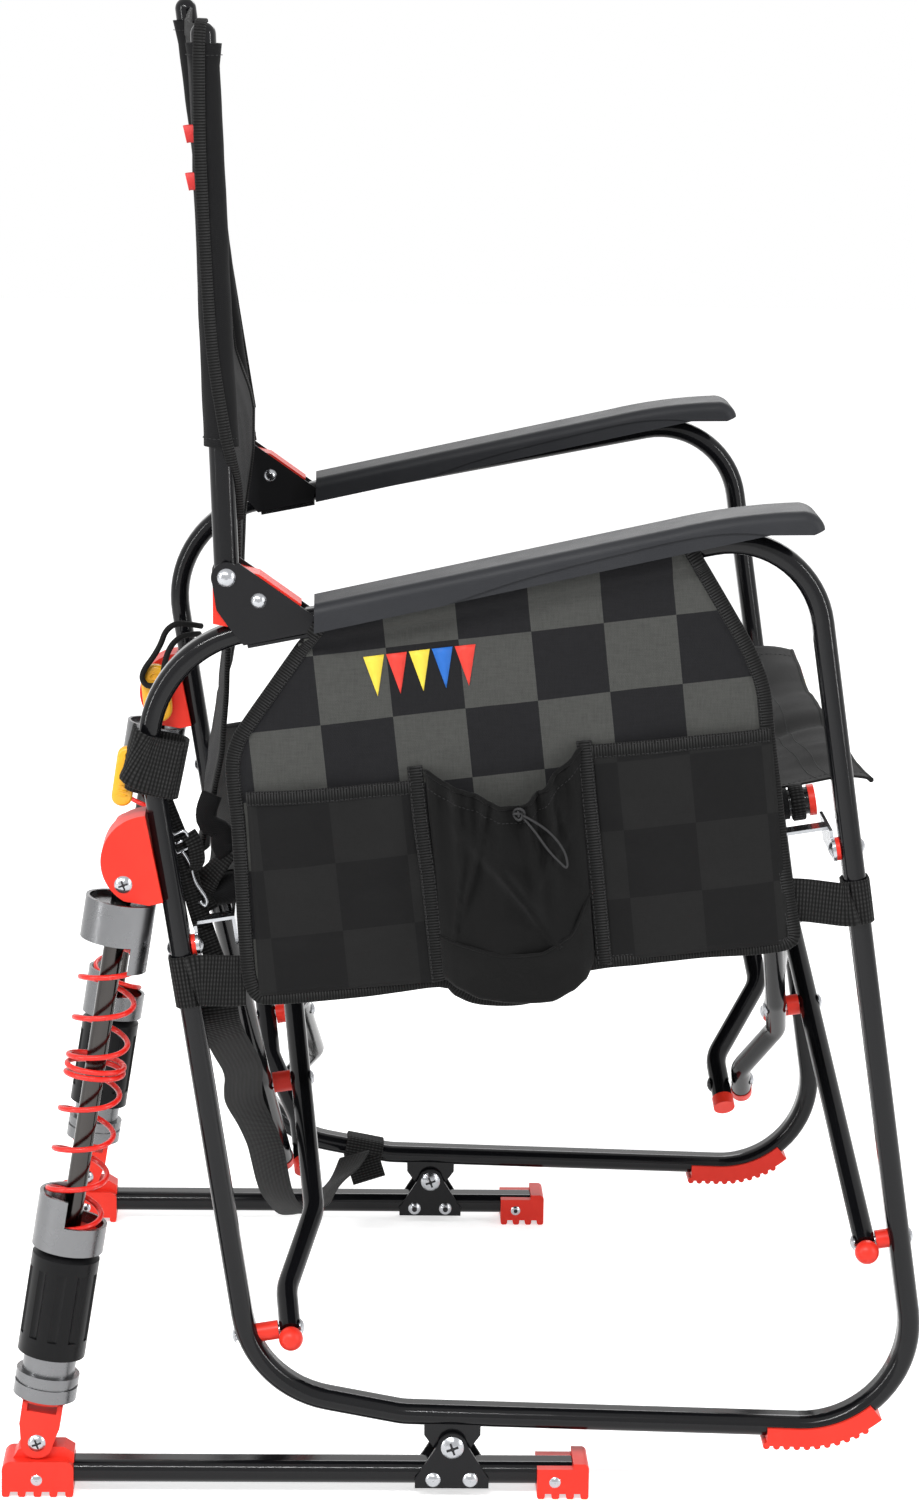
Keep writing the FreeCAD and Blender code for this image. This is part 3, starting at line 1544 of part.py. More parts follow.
def build():
    both("side_frame", side_frame())
    both("armrest", armrest())
    both("back_bracket", back_bracket())
    save("back_block_right", back_block(post_lean_right))
    save("back_block_left", mirror(back_block(post_lean_left)))
    save("back_post_right", back_post(post_lean_right))
    save("back_post_left", mirror(back_post(post_lean_left)))
    both("toe_pad", toe_pad())
    both("shock_mount", shock_mount())
    both("leg_spacers", leg_spacers())
    both("side_fasteners", side_fasteners())
    both("stay_clips", stay_clips())
    save("cross_frame_a_right", cross_frame_a_right())
    save("cross_frame_a_left", cross_frame_a_left())
    save("cross_caps_a_right", cross_caps_a(False))
    save("cross_caps_a_left", mirror(cross_caps_a(True)))
    save("cross_bolts_a_right", cross_fasteners_a(True))
    save("cross_bolts_a_left", mirror(cross_fasteners_a(False)))
    left_front = crank_b_front - side_by_side
    save("cross_frame_b_right", cross_frame_b(crank_b_front, 0.0))
    save("cross_frame_b_left", cross_frame_b_left())
    save("cross_caps_b_right", cross_caps_b(crank_b_front, 0.0))
    save("cross_caps_b_left", mirror(cross_caps_b(left_front, side_by_side)))
    save("cross_bolts_b", low_centre_bolts())
    both("base_rail", base_rail())
    both("front_foot", front_foot())
    both("rear_foot", rear_foot())
    both("rocker_plates", rocker_plates())
    both("base_fasteners", base_fasteners())
    both("shock_yoke", shock_yoke())
    both("shock_alloy", shock_alloy())
    both("shock_body", shock_body())
    both("shock_rod", shock_rod())
    both("shock_collar", shock_collar())
    both("shock_spring", shock_spring())
    save("seat_cloth", seat_cloth())
    save("back_cloth", back_cloth())
    save("side_panel", side_panel())
    save("panel_pockets", panel_pockets())
    save("carry_strap", carry_strap())
    near, far = lock_clips()
    save("lock_clip_right", near)
    save("lock_clip_left", far)


build()
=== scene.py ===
import json
import math

import bpy
from mathutils import Matrix, Vector, noise


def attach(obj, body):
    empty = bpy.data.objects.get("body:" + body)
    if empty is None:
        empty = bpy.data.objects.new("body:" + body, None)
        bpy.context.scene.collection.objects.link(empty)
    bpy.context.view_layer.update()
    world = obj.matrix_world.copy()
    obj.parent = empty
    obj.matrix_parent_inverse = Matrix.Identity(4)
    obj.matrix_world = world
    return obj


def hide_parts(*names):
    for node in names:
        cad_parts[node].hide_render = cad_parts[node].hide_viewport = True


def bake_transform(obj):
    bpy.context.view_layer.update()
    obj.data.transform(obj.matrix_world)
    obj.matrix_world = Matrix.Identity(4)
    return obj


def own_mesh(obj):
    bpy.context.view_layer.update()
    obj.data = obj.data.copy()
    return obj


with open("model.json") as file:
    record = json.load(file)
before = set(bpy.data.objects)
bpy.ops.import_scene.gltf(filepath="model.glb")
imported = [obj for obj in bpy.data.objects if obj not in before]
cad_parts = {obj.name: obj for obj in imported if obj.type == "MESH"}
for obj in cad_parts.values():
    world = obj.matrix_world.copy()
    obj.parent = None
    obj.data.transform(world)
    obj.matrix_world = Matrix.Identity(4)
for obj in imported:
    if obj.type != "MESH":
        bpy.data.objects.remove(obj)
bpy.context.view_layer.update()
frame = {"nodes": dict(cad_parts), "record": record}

# Metres in one frame: +X forward, +Y the sitter's left, +Z up, ground at Z = 0.

SIDE = 0.33
SIDES = (("right", -1), ("left", 1))
TUBE_WIDE = 0.025
TUBE_HIGH = 0.016
SHOCK_FOOT = Vector((-0.3183, 0, 0.0405))
SHOCK_TOP = Vector((-0.2545, 0, 0.4668))
SHOCK_AXIS = (SHOCK_TOP - SHOCK_FOOT).normalized()

# The folding legs turn about an axis that leans back by this much
TILT = math.radians(9.3)
FOLD_AXIS = Vector((math.cos(TILT), 0, math.sin(TILT)))
FOLD_RISE = Vector((-math.sin(TILT), 0, math.cos(TILT)))
PIVOT_RISE = 0.148
RAIL_HALF = 0.284
RAIL_HIGH = 0.328

# Ends of the straight run of each upright, as (x, z)
REAR_LOW, REAR_TOP = (-0.158, 0.0827), (-0.249, 0.6345)
FRONT_LOW, FRONT_TOP = (0.3425, 0.051), (0.236, 0.732)


def vec(*values):
    return Vector(values)


def show(name, data):
    thing = bpy.data.objects.new(name, data)
    bpy.context.scene.collection.objects.link(thing)
    return thing


# Camera, light and floor

def set_camera():
    yaw = math.radians(1.995)
    pitch = math.radians(11.471)
    roll = math.radians(0.98)
    forward = vec(math.sin(yaw) * math.cos(pitch), math.cos(yaw) * math.cos(pitch), -math.sin(pitch))
    right = vec(math.cos(yaw), -math.sin(yaw), 0)
    up = right.cross(forward)
    turned_right = right * math.cos(roll) + up * math.sin(roll)
    turned_up = up * math.cos(roll) - right * math.sin(roll)
    data = bpy.data.cameras.new("camera")
    data.lens = 100.8
    data.sensor_width = 36.0
    data.clip_end = 50.0
    camera = show("camera", data)
    basis = Matrix((turned_right, turned_up, -forward)).transposed().to_4x4()
    camera.matrix_world = Matrix.Translation((-0.1165, -3.3009, 1.1683)) @ basis
    bpy.context.scene.camera = camera


def add_area(name, place, target, size, power):
    data = bpy.data.lights.new(name, "AREA")
    data.shape = "RECTANGLE"
    data.size, data.size_y = size
    data.energy = power
    lamp = show(name, data)
    lamp.location = place
    lamp.rotation_euler = (Vector(target) - Vector(place)).to_track_quat("-Z", "Y").to_euler()


def add_node(tree, kind, inputs=None, **settings):
    # A shader node; an input given a socket is linked to it, and any other value is set
    node = tree.nodes.new("ShaderNode" + kind)
    for name, value in settings.items():
        setattr(node, name, value)
    for key, value in (inputs or {}).items():
        if isinstance(value, bpy.types.NodeSocket):
            tree.links.new(value, node.inputs[key])
        elif value is not None:
            node.inputs[key].default_value = value
    return node


def seen_rays(tree):
    # 1 for rays that show the background: straight to the camera, by a reflection or through glass
    path = add_node(tree, "LightPath").outputs
    total = path["Is Camera Ray"]
    for kind in ("Is Glossy Ray", "Is Transmission Ray"):
        total = add_node(tree, "Math", {0: total, 1: path[kind]}, operation="MAXIMUM").outputs[0]
    return total


def set_light():
    add_area("key", (-0.9, -2.5, 2.7), (0, 0, 0.5), (2.4, 0.09), 76)
    add_area("fill", (2.5, -1.5, 1.3), (0, 0, 0.5), (0.12, 1.9), 27)
    add_area("left", (-2.5, -1.4, 1.3), (0, 0, 0.5), (0.1, 1.9), 24)
    add_area("rim", (0.6, 2.6, 2.2), (0, 0, 0.6), (1.8, 1.0), 26)
    bpy.context.scene.view_settings.view_transform = "Standard"
    world = bpy.data.worlds.new("studio")
    bpy.context.scene.world = world
    world.use_nodes = True
    tree = world.node_tree
    tree.nodes.clear()
    white = (1, 1, 1, 1)
    light = add_node(tree, "Background", {"Color": white, "Strength": 0.5})
    seen = add_node(tree, "Background", {"Color": white, "Strength": 1.0})
    mix = add_node(tree, "MixShader", {0: seen_rays(tree), 1: light.outputs[0], 2: seen.outputs[0]})
    add_node(tree, "OutputWorld", {0: mix.outputs[0]})


def set_floor():
    mesh = bpy.data.meshes.new("floor")
    half = 9.0
    mesh.from_pydata([(-half, -half, 0), (half, -half, 0), (half, half, 0), (-half, half, 0)], [], [(0, 1, 2, 3)])
    floor = show("floor", mesh)
    floor.location.z = -0.0004
    s = Shader("pale floor", (0.96, 0.96, 0.96), 0.9)
    s.set("Specular IOR Level", 0.1)
    base = s.base.outputs[0]
    glow = s.node("Emission", {"Strength": 0.62})
    lit = s.node("AddShader", {0: base, 1: glow.outputs[0]})
    mix = s.node("MixShader", {0: seen_rays(s.tree), 1: base, 2: lit.outputs[0]})
    s.tree.links.new(mix.outputs[0], s.tree.nodes["Material Output"].inputs["Surface"])
    mesh.materials.append(s.material)


# Materials

class Shader:
    # A material's node tree with short calls for the nodes used here

    def __init__(self, name, color, rough, metal=0.0):
        self.material = bpy.data.materials.new(name)
        self.material.use_nodes = True
        self.tree = self.material.node_tree
        self.base = self.tree.nodes["Principled BSDF"]
        self.set("Base Color", (*color, 1)).set("Roughness", rough).set("Metallic", metal)
        self.coords = self.node("TexCoord").outputs["Object"]

    def set(self, name, value):
        self.base.inputs[name].default_value = value
        return self

    def soften(self):
        return self.set("Sheen Weight", 0.04).set("Sheen Roughness", 0.5).set("Specular IOR Level", 0.12)

    def node(self, kind, inputs=None, **settings):
        return add_node(self.tree, kind, inputs, **settings)

    def feed(self, name, value):
        self.tree.links.new(value, self.base.inputs[name])

    def math(self, kind, a, b=None, c=None):
        return self.node("Math", {0: a, 1: b, 2: c}, operation=kind).outputs[0]

    def shifted(self, origin):
        return self.node("VectorMath", {0: self.coords, 1: origin}, operation="SUBTRACT").outputs[0]

    def along(self, direction, coords=None):
        # Distance along a direction, in metres
        inputs = {0: coords or self.coords, 1: direction}
        return self.node("VectorMath", inputs, operation="DOT_PRODUCT").outputs["Value"]

    def noise(self, scale, detail=3.0, stretch=None):
        source = self.coords
        if stretch:
            source = self.node("Mapping", {"Vector": source, "Scale": stretch}).outputs[0]
        return self.node("TexNoise", {"Vector": source, "Scale": scale, "Detail": detail}).outputs[0]

    def wave(self, value, period):
        # 0 to 1 sine of a distance with the given period in metres
        angle = self.math("MULTIPLY", value, math.tau / period)
        return self.math("MULTIPLY_ADD", self.math("SINE", angle), 0.5, 0.5)

    def mix(self, factor, a, b):
        a, b = [(*value, 1) if isinstance(value, tuple) else value for value in (a, b)]
        return self.node("Mix", {0: factor, 6: a, 7: b}, data_type="RGBA").outputs[2]

    def bump(self, height, strength, distance):
        node = self.node("Bump", {"Height": height, "Strength": strength, "Distance": distance})
        self.feed("Normal", node.outputs[0])

    def paint(self, color):
        self.feed("Base Color", color)

    def rough_from(self, value, low, high):
        self.feed("Roughness", self.math("MULTIPLY_ADD", value, high - low, low))


def hard_material(name, color, rough, metal, specular, wear=None, grain=None, mottle=None):
    # wear: scale, detail and range of the roughness; grain: scale, detail, strength and depth of the bump
    s = Shader(name, color, rough, metal)
    s.set("Specular IOR Level", specular)
    if mottle:
        scale, low, high = mottle
        s.paint(s.mix(s.noise(scale, 3), low, high))
    if wear:
        scale, detail, low, high = wear
        s.rough_from(s.noise(scale, detail), low, high)
    if grain:
        scale, detail, strength, depth = grain
        s.bump(s.noise(scale, detail), strength, depth)
    return s.material


def alloy_material():
    s = Shader("turned alloy", (0.185, 0.187, 0.192), 0.22, 1.0)
    s.rough_from(s.noise(60, 2), 0.2, 0.36)
    s.bump(s.wave(s.along(SHOCK_AXIS), 0.0009), 0.1, 0.0002)
    return s.material


def rod_material():
    s = Shader("dark polished rod", (0.06, 0.056, 0.054), 0.13, 1.0)
    s.rough_from(s.noise(120, 3, stretch=(1, 1, 0.1)), 0.1, 0.24)
    return s.material


def weave(s, pitch, first, second, slub, spread, body=0.0):
    # Plain weave of two thread sets with slubs in the yarn: the shade of each spot, and its grain. The shade is
    # partly painted shade, darker in the gaps between threads where the bump runs low, and partly the slubs' own
    # tone
    a = s.wave(s.along(first), pitch)
    b = s.wave(s.along(second), pitch)
    threads = s.math("ABSOLUTE", s.math("SUBTRACT", a, b))
    ends = [s.noise(slub, 3, stretch) for stretch in ((1, 8, spread), (spread, 8, 1))]
    grain = s.math("MULTIPLY", s.math("ADD", *ends), 0.5)
    # Painted shade between the threads, times the yarn's slub tone
    shade = s.math("MULTIPLY", s.math("ADD", threads, body), grain)
    s.bump(threads, 0.35, 0.0004)
    return s.math("MINIMUM", s.math("MULTIPLY", shade, 1.5), 1.0), grain


def cloth_material(name, color, dark, pitch=0.0012, first=(0, 1, 0), second=(0.3, 0, 0.95)):
    s = Shader(name, color, 0.8).soften()
    shade, grain = weave(s, pitch, first, second, 90, 8)
    # Painted shade: dark is the colour in the gaps between threads, color the yarn's own tone
    s.paint(s.mix(shade, dark, color))
    s.rough_from(grain, 0.7, 0.88)
    return s.material


def checks(s):
    # 1 on light squares, 0 on dark ones, of a grid laid out in the panel's plane
    origin = s.shifted((-0.1194, 0, 0.6341))
    waves = []
    for squares in ((18.949, 0, 2.2227), (2.4864, 0, -19.589)):
        waves.append(s.math("SINE", s.math("MULTIPLY", s.along(squares, origin), math.pi)))
    return s.math("GREATER_THAN", s.math("MULTIPLY", *waves), 0.0)


def check_material(name, dark_pair, light_pair, rough, pitch=0.0011):
    # Woven check, each square a mix of two close tones: its yarn tone and a darker copy of it as painted shade
    # between the threads
    s = Shader(name, light_pair[0], rough).soften()
    shade, grain = weave(s, pitch, (1, 0, 0.12), (-0.12, 0, 1), 110, 9, 0.35)
    # Each pair holds a square's lit yarn tone and its painted shade, mixed by the weave
    light = s.mix(shade, light_pair[1], light_pair[0])
    dark = s.mix(shade, dark_pair[1], dark_pair[0])
    s.paint(s.mix(checks(s), dark, light))
    s.rough_from(grain, rough - 0.08, rough + 0.08)
    return s.material


def ribbed_material(name, color, dark, pitch_along, pitch_across, bump=0.8):
    # Tape or webbing: ribs square to its run, crossed by lengthwise warps. Its colour is painted shade in the
    # grooves between ribs and warps, where the bump runs low, times a tone that differs at random
    s = Shader(name, color, 0.78).soften()
    run = s.node("Attribute", attribute_name="run").outputs["Vector"]
    ribs = s.wave(s.along((1, 0, 0), run), pitch_along)
    warps = s.wave(s.along((0, 1, 0), run), pitch_across)
    cloth = s.math("MULTIPLY", ribs, s.math("MULTIPLY_ADD", warps, 0.6, 0.4))
    tone = s.noise(40, 3)
    # Painted shade in the grooves, with random tone
    s.paint(s.mix(s.math("MULTIPLY", cloth, s.math("MULTIPLY_ADD", tone, 0.8, 0.5)), dark, color))
    s.bump(cloth, bump, 0.0006)
    s.rough_from(tone, 0.68, 0.86)
    return s.material


def print_material(name, color):
    s = Shader(name, color, 0.55)
    lighter = tuple(min(1.0, c * 1.12 + 0.004) for c in color)
    s.paint(s.mix(s.noise(160, 3), color, lighter))
    s.bump(s.wave(s.along((1, 0, 0.12)), 0.0011), 0.15, 0.0003)
    s.rough_from(s.noise(90, 3), 0.48, 0.64)
    return s.material


def grey(level):
    return (level, level, level)


set_camera()
set_light()
set_floor()

HARD = {
    "black_tube": ("gloss black tube", (0.0048, 0.0049, 0.0058), 0.1, 0, 0.24, (14, 4, 0.09, 0.17),
                   (900, 2, 0.12, 0.0003)),
    "black_plate": ("satin black plate", (0.009, 0.009, 0.01), 0.36, 0, 0.18, (60, 4, 0.3, 0.5),
                    (1200, 2, 0.2, 0.0003)),
    "bright_steel": ("bright steel", (0.42, 0.43, 0.45), 0.2, 1, 0.5, (300, 4, 0.14, 0.34), (700, 3, 0.12, 0.0002)),
    "black_shock": ("semi gloss black barrel", (0.004, 0.004, 0.0045), 0.24, 0, 0.15, (80, 4, 0.22, 0.4),
                    (1500, 2, 0.1, 0.0002)),
    "red_spring": ("gloss red spring", (0.74, 0.018, 0.011), 0.25, 0, 0.4, (70, 3, 0.2, 0.34),
                   (500, 2, 0.08, 0.0003)),
    "red_plastic": ("satin red plastic", (0.8, 0.03, 0.016), 0.36, 0, 0.3, (90, 3, 0.3, 0.46),
                    (1100, 2, 0.12, 0.0003), (25, (0.72, 0.022, 0.012), (0.86, 0.042, 0.022))),
    "arm_plastic": ("grained dark moulding", (0.016, 0.017, 0.02), 0.46, 0, 0.2, (40, 4, 0.42, 0.56),
                    (1600, 3, 0.3, 0.0004), (30, (0.017, 0.018, 0.021), (0.025, 0.026, 0.029))),
    "yellow_plastic": ("amber plastic", (0.86, 0.42, 0.012), 0.3, 0, 0.5, (90, 3, 0.24, 0.4), None,
                       (40, (0.8, 0.36, 0.01), (0.9, 0.48, 0.02))),
}
PAINT = {slot: hard_material(*values) for slot, values in HARD.items()}
PAINT["silver_alloy"] = alloy_material()
PAINT["dark_chrome"] = rod_material()
PAINT["black_cloth"] = cloth_material("black cloth", (0.014, 0.014, 0.0145), (0.004, 0.004, 0.0045))
PAINT["check_cloth"] = check_material(
    "check cloth", ((0.0165, 0.0165, 0.018), (0.006, 0.006, 0.007)),
    ((0.082, 0.083, 0.078), (0.034, 0.035, 0.033)), 0.82)
PAINT["mesh_cloth"] = check_material(
    "pocket mesh", ((0.0035, 0.0035, 0.0037), (0.0015, 0.0015, 0.0017)), (grey(0.0095), grey(0.0045)), 0.5, 0.0009)
WEBBING = ribbed_material("black webbing", grey(0.034), grey(0.0015), 0.0024, 0.0032)
PAINT["black_webbing"] = WEBBING
RIBBED = ribbed_material("ribbed binding", grey(0.036), grey(0.0012), 0.0021, 0.0108, 0.9)
THREAD = hard_material("black sewing thread", (0.03, 0.03, 0.031), 0.6, 0, 0.2, (200, 2, 0.5, 0.7),
                       (2500, 2, 0.3, 0.0002))
# Painted shade for the insides of screw drives and hollow rivets
RECESS_SHADE = hard_material("painted recess shade", (0.03, 0.03, 0.032), 0.6, 0, 0.1, None, (900, 2, 0.2, 0.0002))
PLAIN_CLOTH = cloth_material("bottle pocket cloth", grey(0.007), grey(0.0025), 0.0008)
SEAT_CLOTH = cloth_material("seat cloth", grey(0.024), grey(0.008), 0.0011, (0, 1, 0), (1, 0, 0.1))
TAB_RED = print_material("red tab", (0.55, 0.02, 0.018))
PRINT = {
    "yellow": print_material("yellow print", (0.8, 0.62, 0.05)),
    "red": print_material("red print", (0.7, 0.035, 0.02)),
    "blue": print_material("blue print", (0.005, 0.12, 0.48)),
}


# Building blocks

def smooth_line(points, spacing=0.004):
    # A Catmull-Rom line through the points, evenly spaced
    points = [Vector(p) for p in points]
    line = []
    for i in range(len(points) - 1):
        p0 = points[max(i - 1, 0)]
        p1, p2 = points[i], points[i + 1]
        p3 = points[min(i + 2, len(points) - 1)]
        steps = max(1, round((p2 - p1).length / spacing))
        for k in range(steps):
            t = k / steps
            a = 2 * p1 + (p2 - p0) * t
            b = (2 * p0 - 5 * p1 + 4 * p2 - p3) * t ** 2
            c = (3 * p1 - p0 - 3 * p2 + p3) * t ** 3
            line.append((a + b + c) * 0.5)
    line.append(points[-1])
    return line


def rumple(point, size, height, seed=0.0):
    # Smooth uneven cloth, signed, in metres
    return noise.noise(Vector(point) / size + vec(seed, 0, 0)) * height


def between(stops, u):
    # The height at u of an eased line through (u, height) stops
    for (a, low), (b, high) in zip(stops, stops[1:]):
        if u <= b:
            t = max(0.0, (u - a) / (b - a))
            t = t * t * (3 - 2 * t) * 0.4 + t * 0.6
            return low + (high - low) * t
    return stops[-1][1]


def moved(points, x=0.0, y=0.0, z=0.0):
    return [p + vec(x, y, z) for p in points]


def add_piece(name, points, faces, slot, body, paint=None, thick=0.0, run=None):
    mesh = bpy.data.meshes.new(name)
    mesh.from_pydata([tuple(p) for p in points], [], faces)
    mesh.materials.append(paint or PAINT[slot])
    for face in mesh.polygons:
        face.use_smooth = True
    if run:
        data = mesh.attributes.new("run", "FLOAT_VECTOR", "POINT")
        for item, value in zip(data.data, run):
            item.vector = value
    mesh.update()
    piece = show(name, mesh)
    if thick:
        skin = piece.modifiers.new("thickness", "SOLIDIFY")
        skin.thickness = thick
        skin.offset = 0.0
    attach(piece, body)
    return piece


def grid(name, rows, slot, body, thick=0.0, paint=None):
    # A sheet through rows of points; run holds the distances along and across it
    count = len(rows[0])
    faces = []
    run = []
    down = 0.0
    for r, row in enumerate(rows):
        across = 0.0
        if r:
            down += (row[count // 2] - rows[r - 1][count // 2]).length
        for c, point in enumerate(row):
            if c:
                across += (point - row[c - 1]).length
            run.append((down, across, 0))
            if r and c:
                a = (r - 1) * count + c - 1
                faces.append((a, a + 1, a + 1 + count, a + count))
    points = [p for row in rows for p in row]
    return add_piece(name, points, faces, slot, body, paint, thick, run)


def tangents(line):
    found = []
    for i in range(len(line)):
        step = line[min(i + 1, len(line) - 1)] - line[max(i - 1, 0)]
        found.append(step.normalized())
    return found


def joined(count, rings, closed=False):
    # Faces between rings of count points each, with both ends capped or, where closed, joined
    faces = []
    for i in range(rings if closed else rings - 1):
        a, b = i * count, (i + 1) % rings * count
        for k in range(count):
            n = (k + 1) % count
            faces.append((a + k, a + n, b + n, b + k))
    if not closed:
        faces.append(tuple(range(count - 1, -1, -1)))
        faces.append(tuple(range((rings - 1) * count, rings * count)))
    return faces


def swept(name, line, sides, profile, slot, body, paint=None, closed=False):
    # A profile of (side, out) pairs carried along a line; sides are the directions that side points in
    points, run = [], []
    distance = 0.0
    for i, (point, along) in enumerate(zip(line, tangents(line))):
        side = Vector(sides[i] if isinstance(sides, list) else sides)
        side = (side - along * side.dot(along)).normalized()
        out = side.cross(along)
        if i:
            distance += (point - line[i - 1]).length
        for a, b in profile:
            points.append(point + side * a + out * b)
            run.append((distance, a, b))
    faces = joined(len(profile), len(line), closed)
    return add_piece(name, points, faces, slot, body, paint, 0.0, run)


def band(name, line, sides, width, thick, slot="black_webbing", body="side_right", paint=None, closed=False):
    w, t = width / 2, thick / 2
    soft = w - min(t, 0.0008)
    crown = t * 1.06
    profile = [(-w, 0), (-soft, -t), (0, -crown), (soft, -t), (w, 0), (soft, t), (0, crown), (-soft, t)]
    return swept(name, line, sides, profile, slot, body, paint or WEBBING, closed)


def rope(name, line, radius, slot, body="side_right", paint=None, closed=False, around=10, side=(0.3, 0.2, 1)):
    turn = math.tau / around
    profile = [(radius * math.cos(k * turn), radius * math.sin(k * turn)) for k in range(around)]
    return swept(name, line, side, profile, slot, body, paint, closed)


def beads(name, line, sides, length, radius, pitch, slot="black_webbing", body="side_right", paint=None,
          turned=False):
    # Short raised threads laid along a line, or across it where turned
    points, faces = [], []
    travelled, due = 0.0, pitch / 2
    directions = tangents(line)
    for i in range(1, len(line)):
        step = (line[i] - line[i - 1]).length
        while due <= travelled + step:
            centre = line[i - 1].lerp(line[i], (due - travelled) / step)
            along = directions[i]
            side = Vector(sides)
            side = (side - along * side.dot(along)).normalized()
            out = side.cross(along)
            if turned:
                along, side = side, along
            a = len(points)
            points.append(centre - along * (length * 0.5))
            for reach in (-0.3, 0.3):
                for k in range(4):
                    angle = math.pi / 4 + k * math.pi / 2
                    offset = side * (math.cos(angle) * radius) + out * (math.sin(angle) * radius)
                    points.append(centre + along * (length * reach) + offset)
            points.append(centre + along * (length * 0.5))
            for k in range(4):
                n = (k + 1) % 4
                faces.append((a, a + 1 + n, a + 1 + k))
                faces.append((a + 1 + k, a + 1 + n, a + 5 + n, a + 5 + k))
                faces.append((a + 9, a + 5 + k, a + 5 + n))
            due += pitch
        travelled += step
    return add_piece(name, points, faces, slot, body, paint or THREAD)


def ring_line(half_x, half_y, corner, steps=6):
    # A rounded oblong from the middle of its front, in (x, y)
    line = []
    for sx, sy, start in ((1, 1, 0), (-1, 1, 90), (-1, -1, 180), (1, -1, 270)):
        for k in range(steps + 1):
            angle = math.radians(start + 90 * k / steps)
            x = sx * (half_x - corner) + corner * math.cos(angle)
            line.append((x, sy * (half_y - corner) + corner * math.sin(angle)))
    return line


def inside(outline, x, z):
    found = False
    for (x1, z1), (x2, z2) in zip(outline, outline[1:] + outline[:1]):
        if (z1 > z) != (z2 > z) and x < x1 + (x2 - x1) * (z - z1) / (z2 - z1):
            found = not found
    return found


def narrow(*pieces):
    # Gives each piece a mesh of its own
    for piece in pieces:
        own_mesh(piece)


def spline_cord(name, route, radius, paint, body):
    curve = bpy.data.curves.new(name, "CURVE")
    curve.dimensions = "3D"
    curve.bevel_depth = radius
    curve.bevel_resolution = 3
    curve.resolution_u = 10
    curve.use_fill_caps = True
    spline = curve.splines.new("NURBS")
    spline.points.add(len(route) - 1)
    for item, place in zip(spline.points, route):
        item.co = (*place, 1)
    spline.order_u = 3
    spline.use_endpoint_u = True
    curve.materials.append(paint)
    cord = show(name, curve)
    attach(cord, body)
    return cord


def spline_length(cord):
    bare = cord.data.copy()
    bare.bevel_depth = 0
    holder = show("measure", bare)
    mesh = bpy.data.meshes.new_from_object(holder)
    length = sum((mesh.vertices[e.vertices[0]].co - mesh.vertices[e.vertices[1]].co).length for e in mesh.edges)
    bpy.data.objects.remove(holder)
    bpy.data.curves.remove(bare)
    bpy.data.meshes.remove(mesh)
    return round(length, 4)


# Side panel and its pockets

PANEL_Y = -0.3372
PANEL = [
    (-0.1195, 0.659), (-0.1288, 0.6458), (-0.1678, 0.5885), (-0.1777, 0.5708), (-0.1812, 0.5503),
    (-0.1766, 0.5061), (-0.1703, 0.4169), (-0.1665, 0.3907), (-0.1591, 0.3792), (-0.1445, 0.3766),
    (-0.0755, 0.3832), (-0.0246, 0.3904), (-0.0135, 0.3844), (0.0048, 0.3778), (0.0377, 0.3781),
    (0.063, 0.3888), (0.0715, 0.4002), (0.0919, 0.4056), (0.1283, 0.4097), (0.1647, 0.4138),
    (0.2085, 0.4172), (0.2303, 0.4219), (0.2372, 0.4317), (0.2327, 0.4579), (0.2264, 0.4951),
    (0.2189, 0.547), (0.2144, 0.5764), (0.2096, 0.6131), (0.2017, 0.6349), (0.1902, 0.6567),
    (0.1515, 0.72),
]


def panel_y(x, z):
    # The upper edge is carried out over the side of the tube, under the armrest
    under_tube = 0.6488 + (x + 0.121) * 0.2047 - 0.007
    lap = min(1.0, max(0.0, (z - under_tube) / 0.006))
    waves = rumple((x, 0, z), 0.07, 0.0026) + rumple((x, 0, z), 0.02, 0.0008)
    return PANEL_Y - 0.0066 * lap + (1 - lap) * waves


def panel_point(x, z, out=0.0):
    return vec(x, panel_y(x, z) - out, z)


def panel_sheet():
    # Square cells wherever all four corners lie inside the outline
    cell = 0.004
    columns, lines = 108, 86
    keys, points, faces = {}, [], []

    def place(i, k):
        return -0.186 + i * cell, 0.372 + k * cell

    def corner(i, k):
        if (i, k) not in keys:
            keys[(i, k)] = len(points)
            points.append(panel_point(*place(i, k)))
        return keys[(i, k)]

    for i in range(columns):
        for k in range(lines):
            around = [(i, k), (i + 1, k), (i + 1, k + 1), (i, k + 1)]
            if all(inside(PANEL, *place(a, b)) for a, b in around):
                faces.append(tuple(corner(a, b) for a, b in around))
    return add_piece("panel_sheet", points, faces, "check_cloth", "side_right", thick=0.0009)


def add_panel():
    sheet = panel_sheet()
    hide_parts("side_panel")
    edge = smooth_line([panel_point(x, z, -0.0004) for x, z in PANEL], 0.005)
    sides = [along.cross(vec(0, 1, 0)).normalized() for along in tangents(edge)]
    inset = 0.0048
    if sides[60].dot(vec(0.03, 0, 0.52) - edge[60]) < 0:
        inset = -inset
    line = [point + side * inset for point, side in zip(edge, sides)]
    for point in line:
        point.y = panel_y(point.x, point.z) - 0.0002
    binding = band("panel_binding", line, sides, 0.0108, 0.004, paint=RIBBED)
    seam = smooth_line([q + s * inset * 0.8 for q, s in zip(line, sides)])
    beads("panel_seam", moved(seam, y=-0.0021), (0, 1, 0), 0.0024, 0.0003, 0.0034)


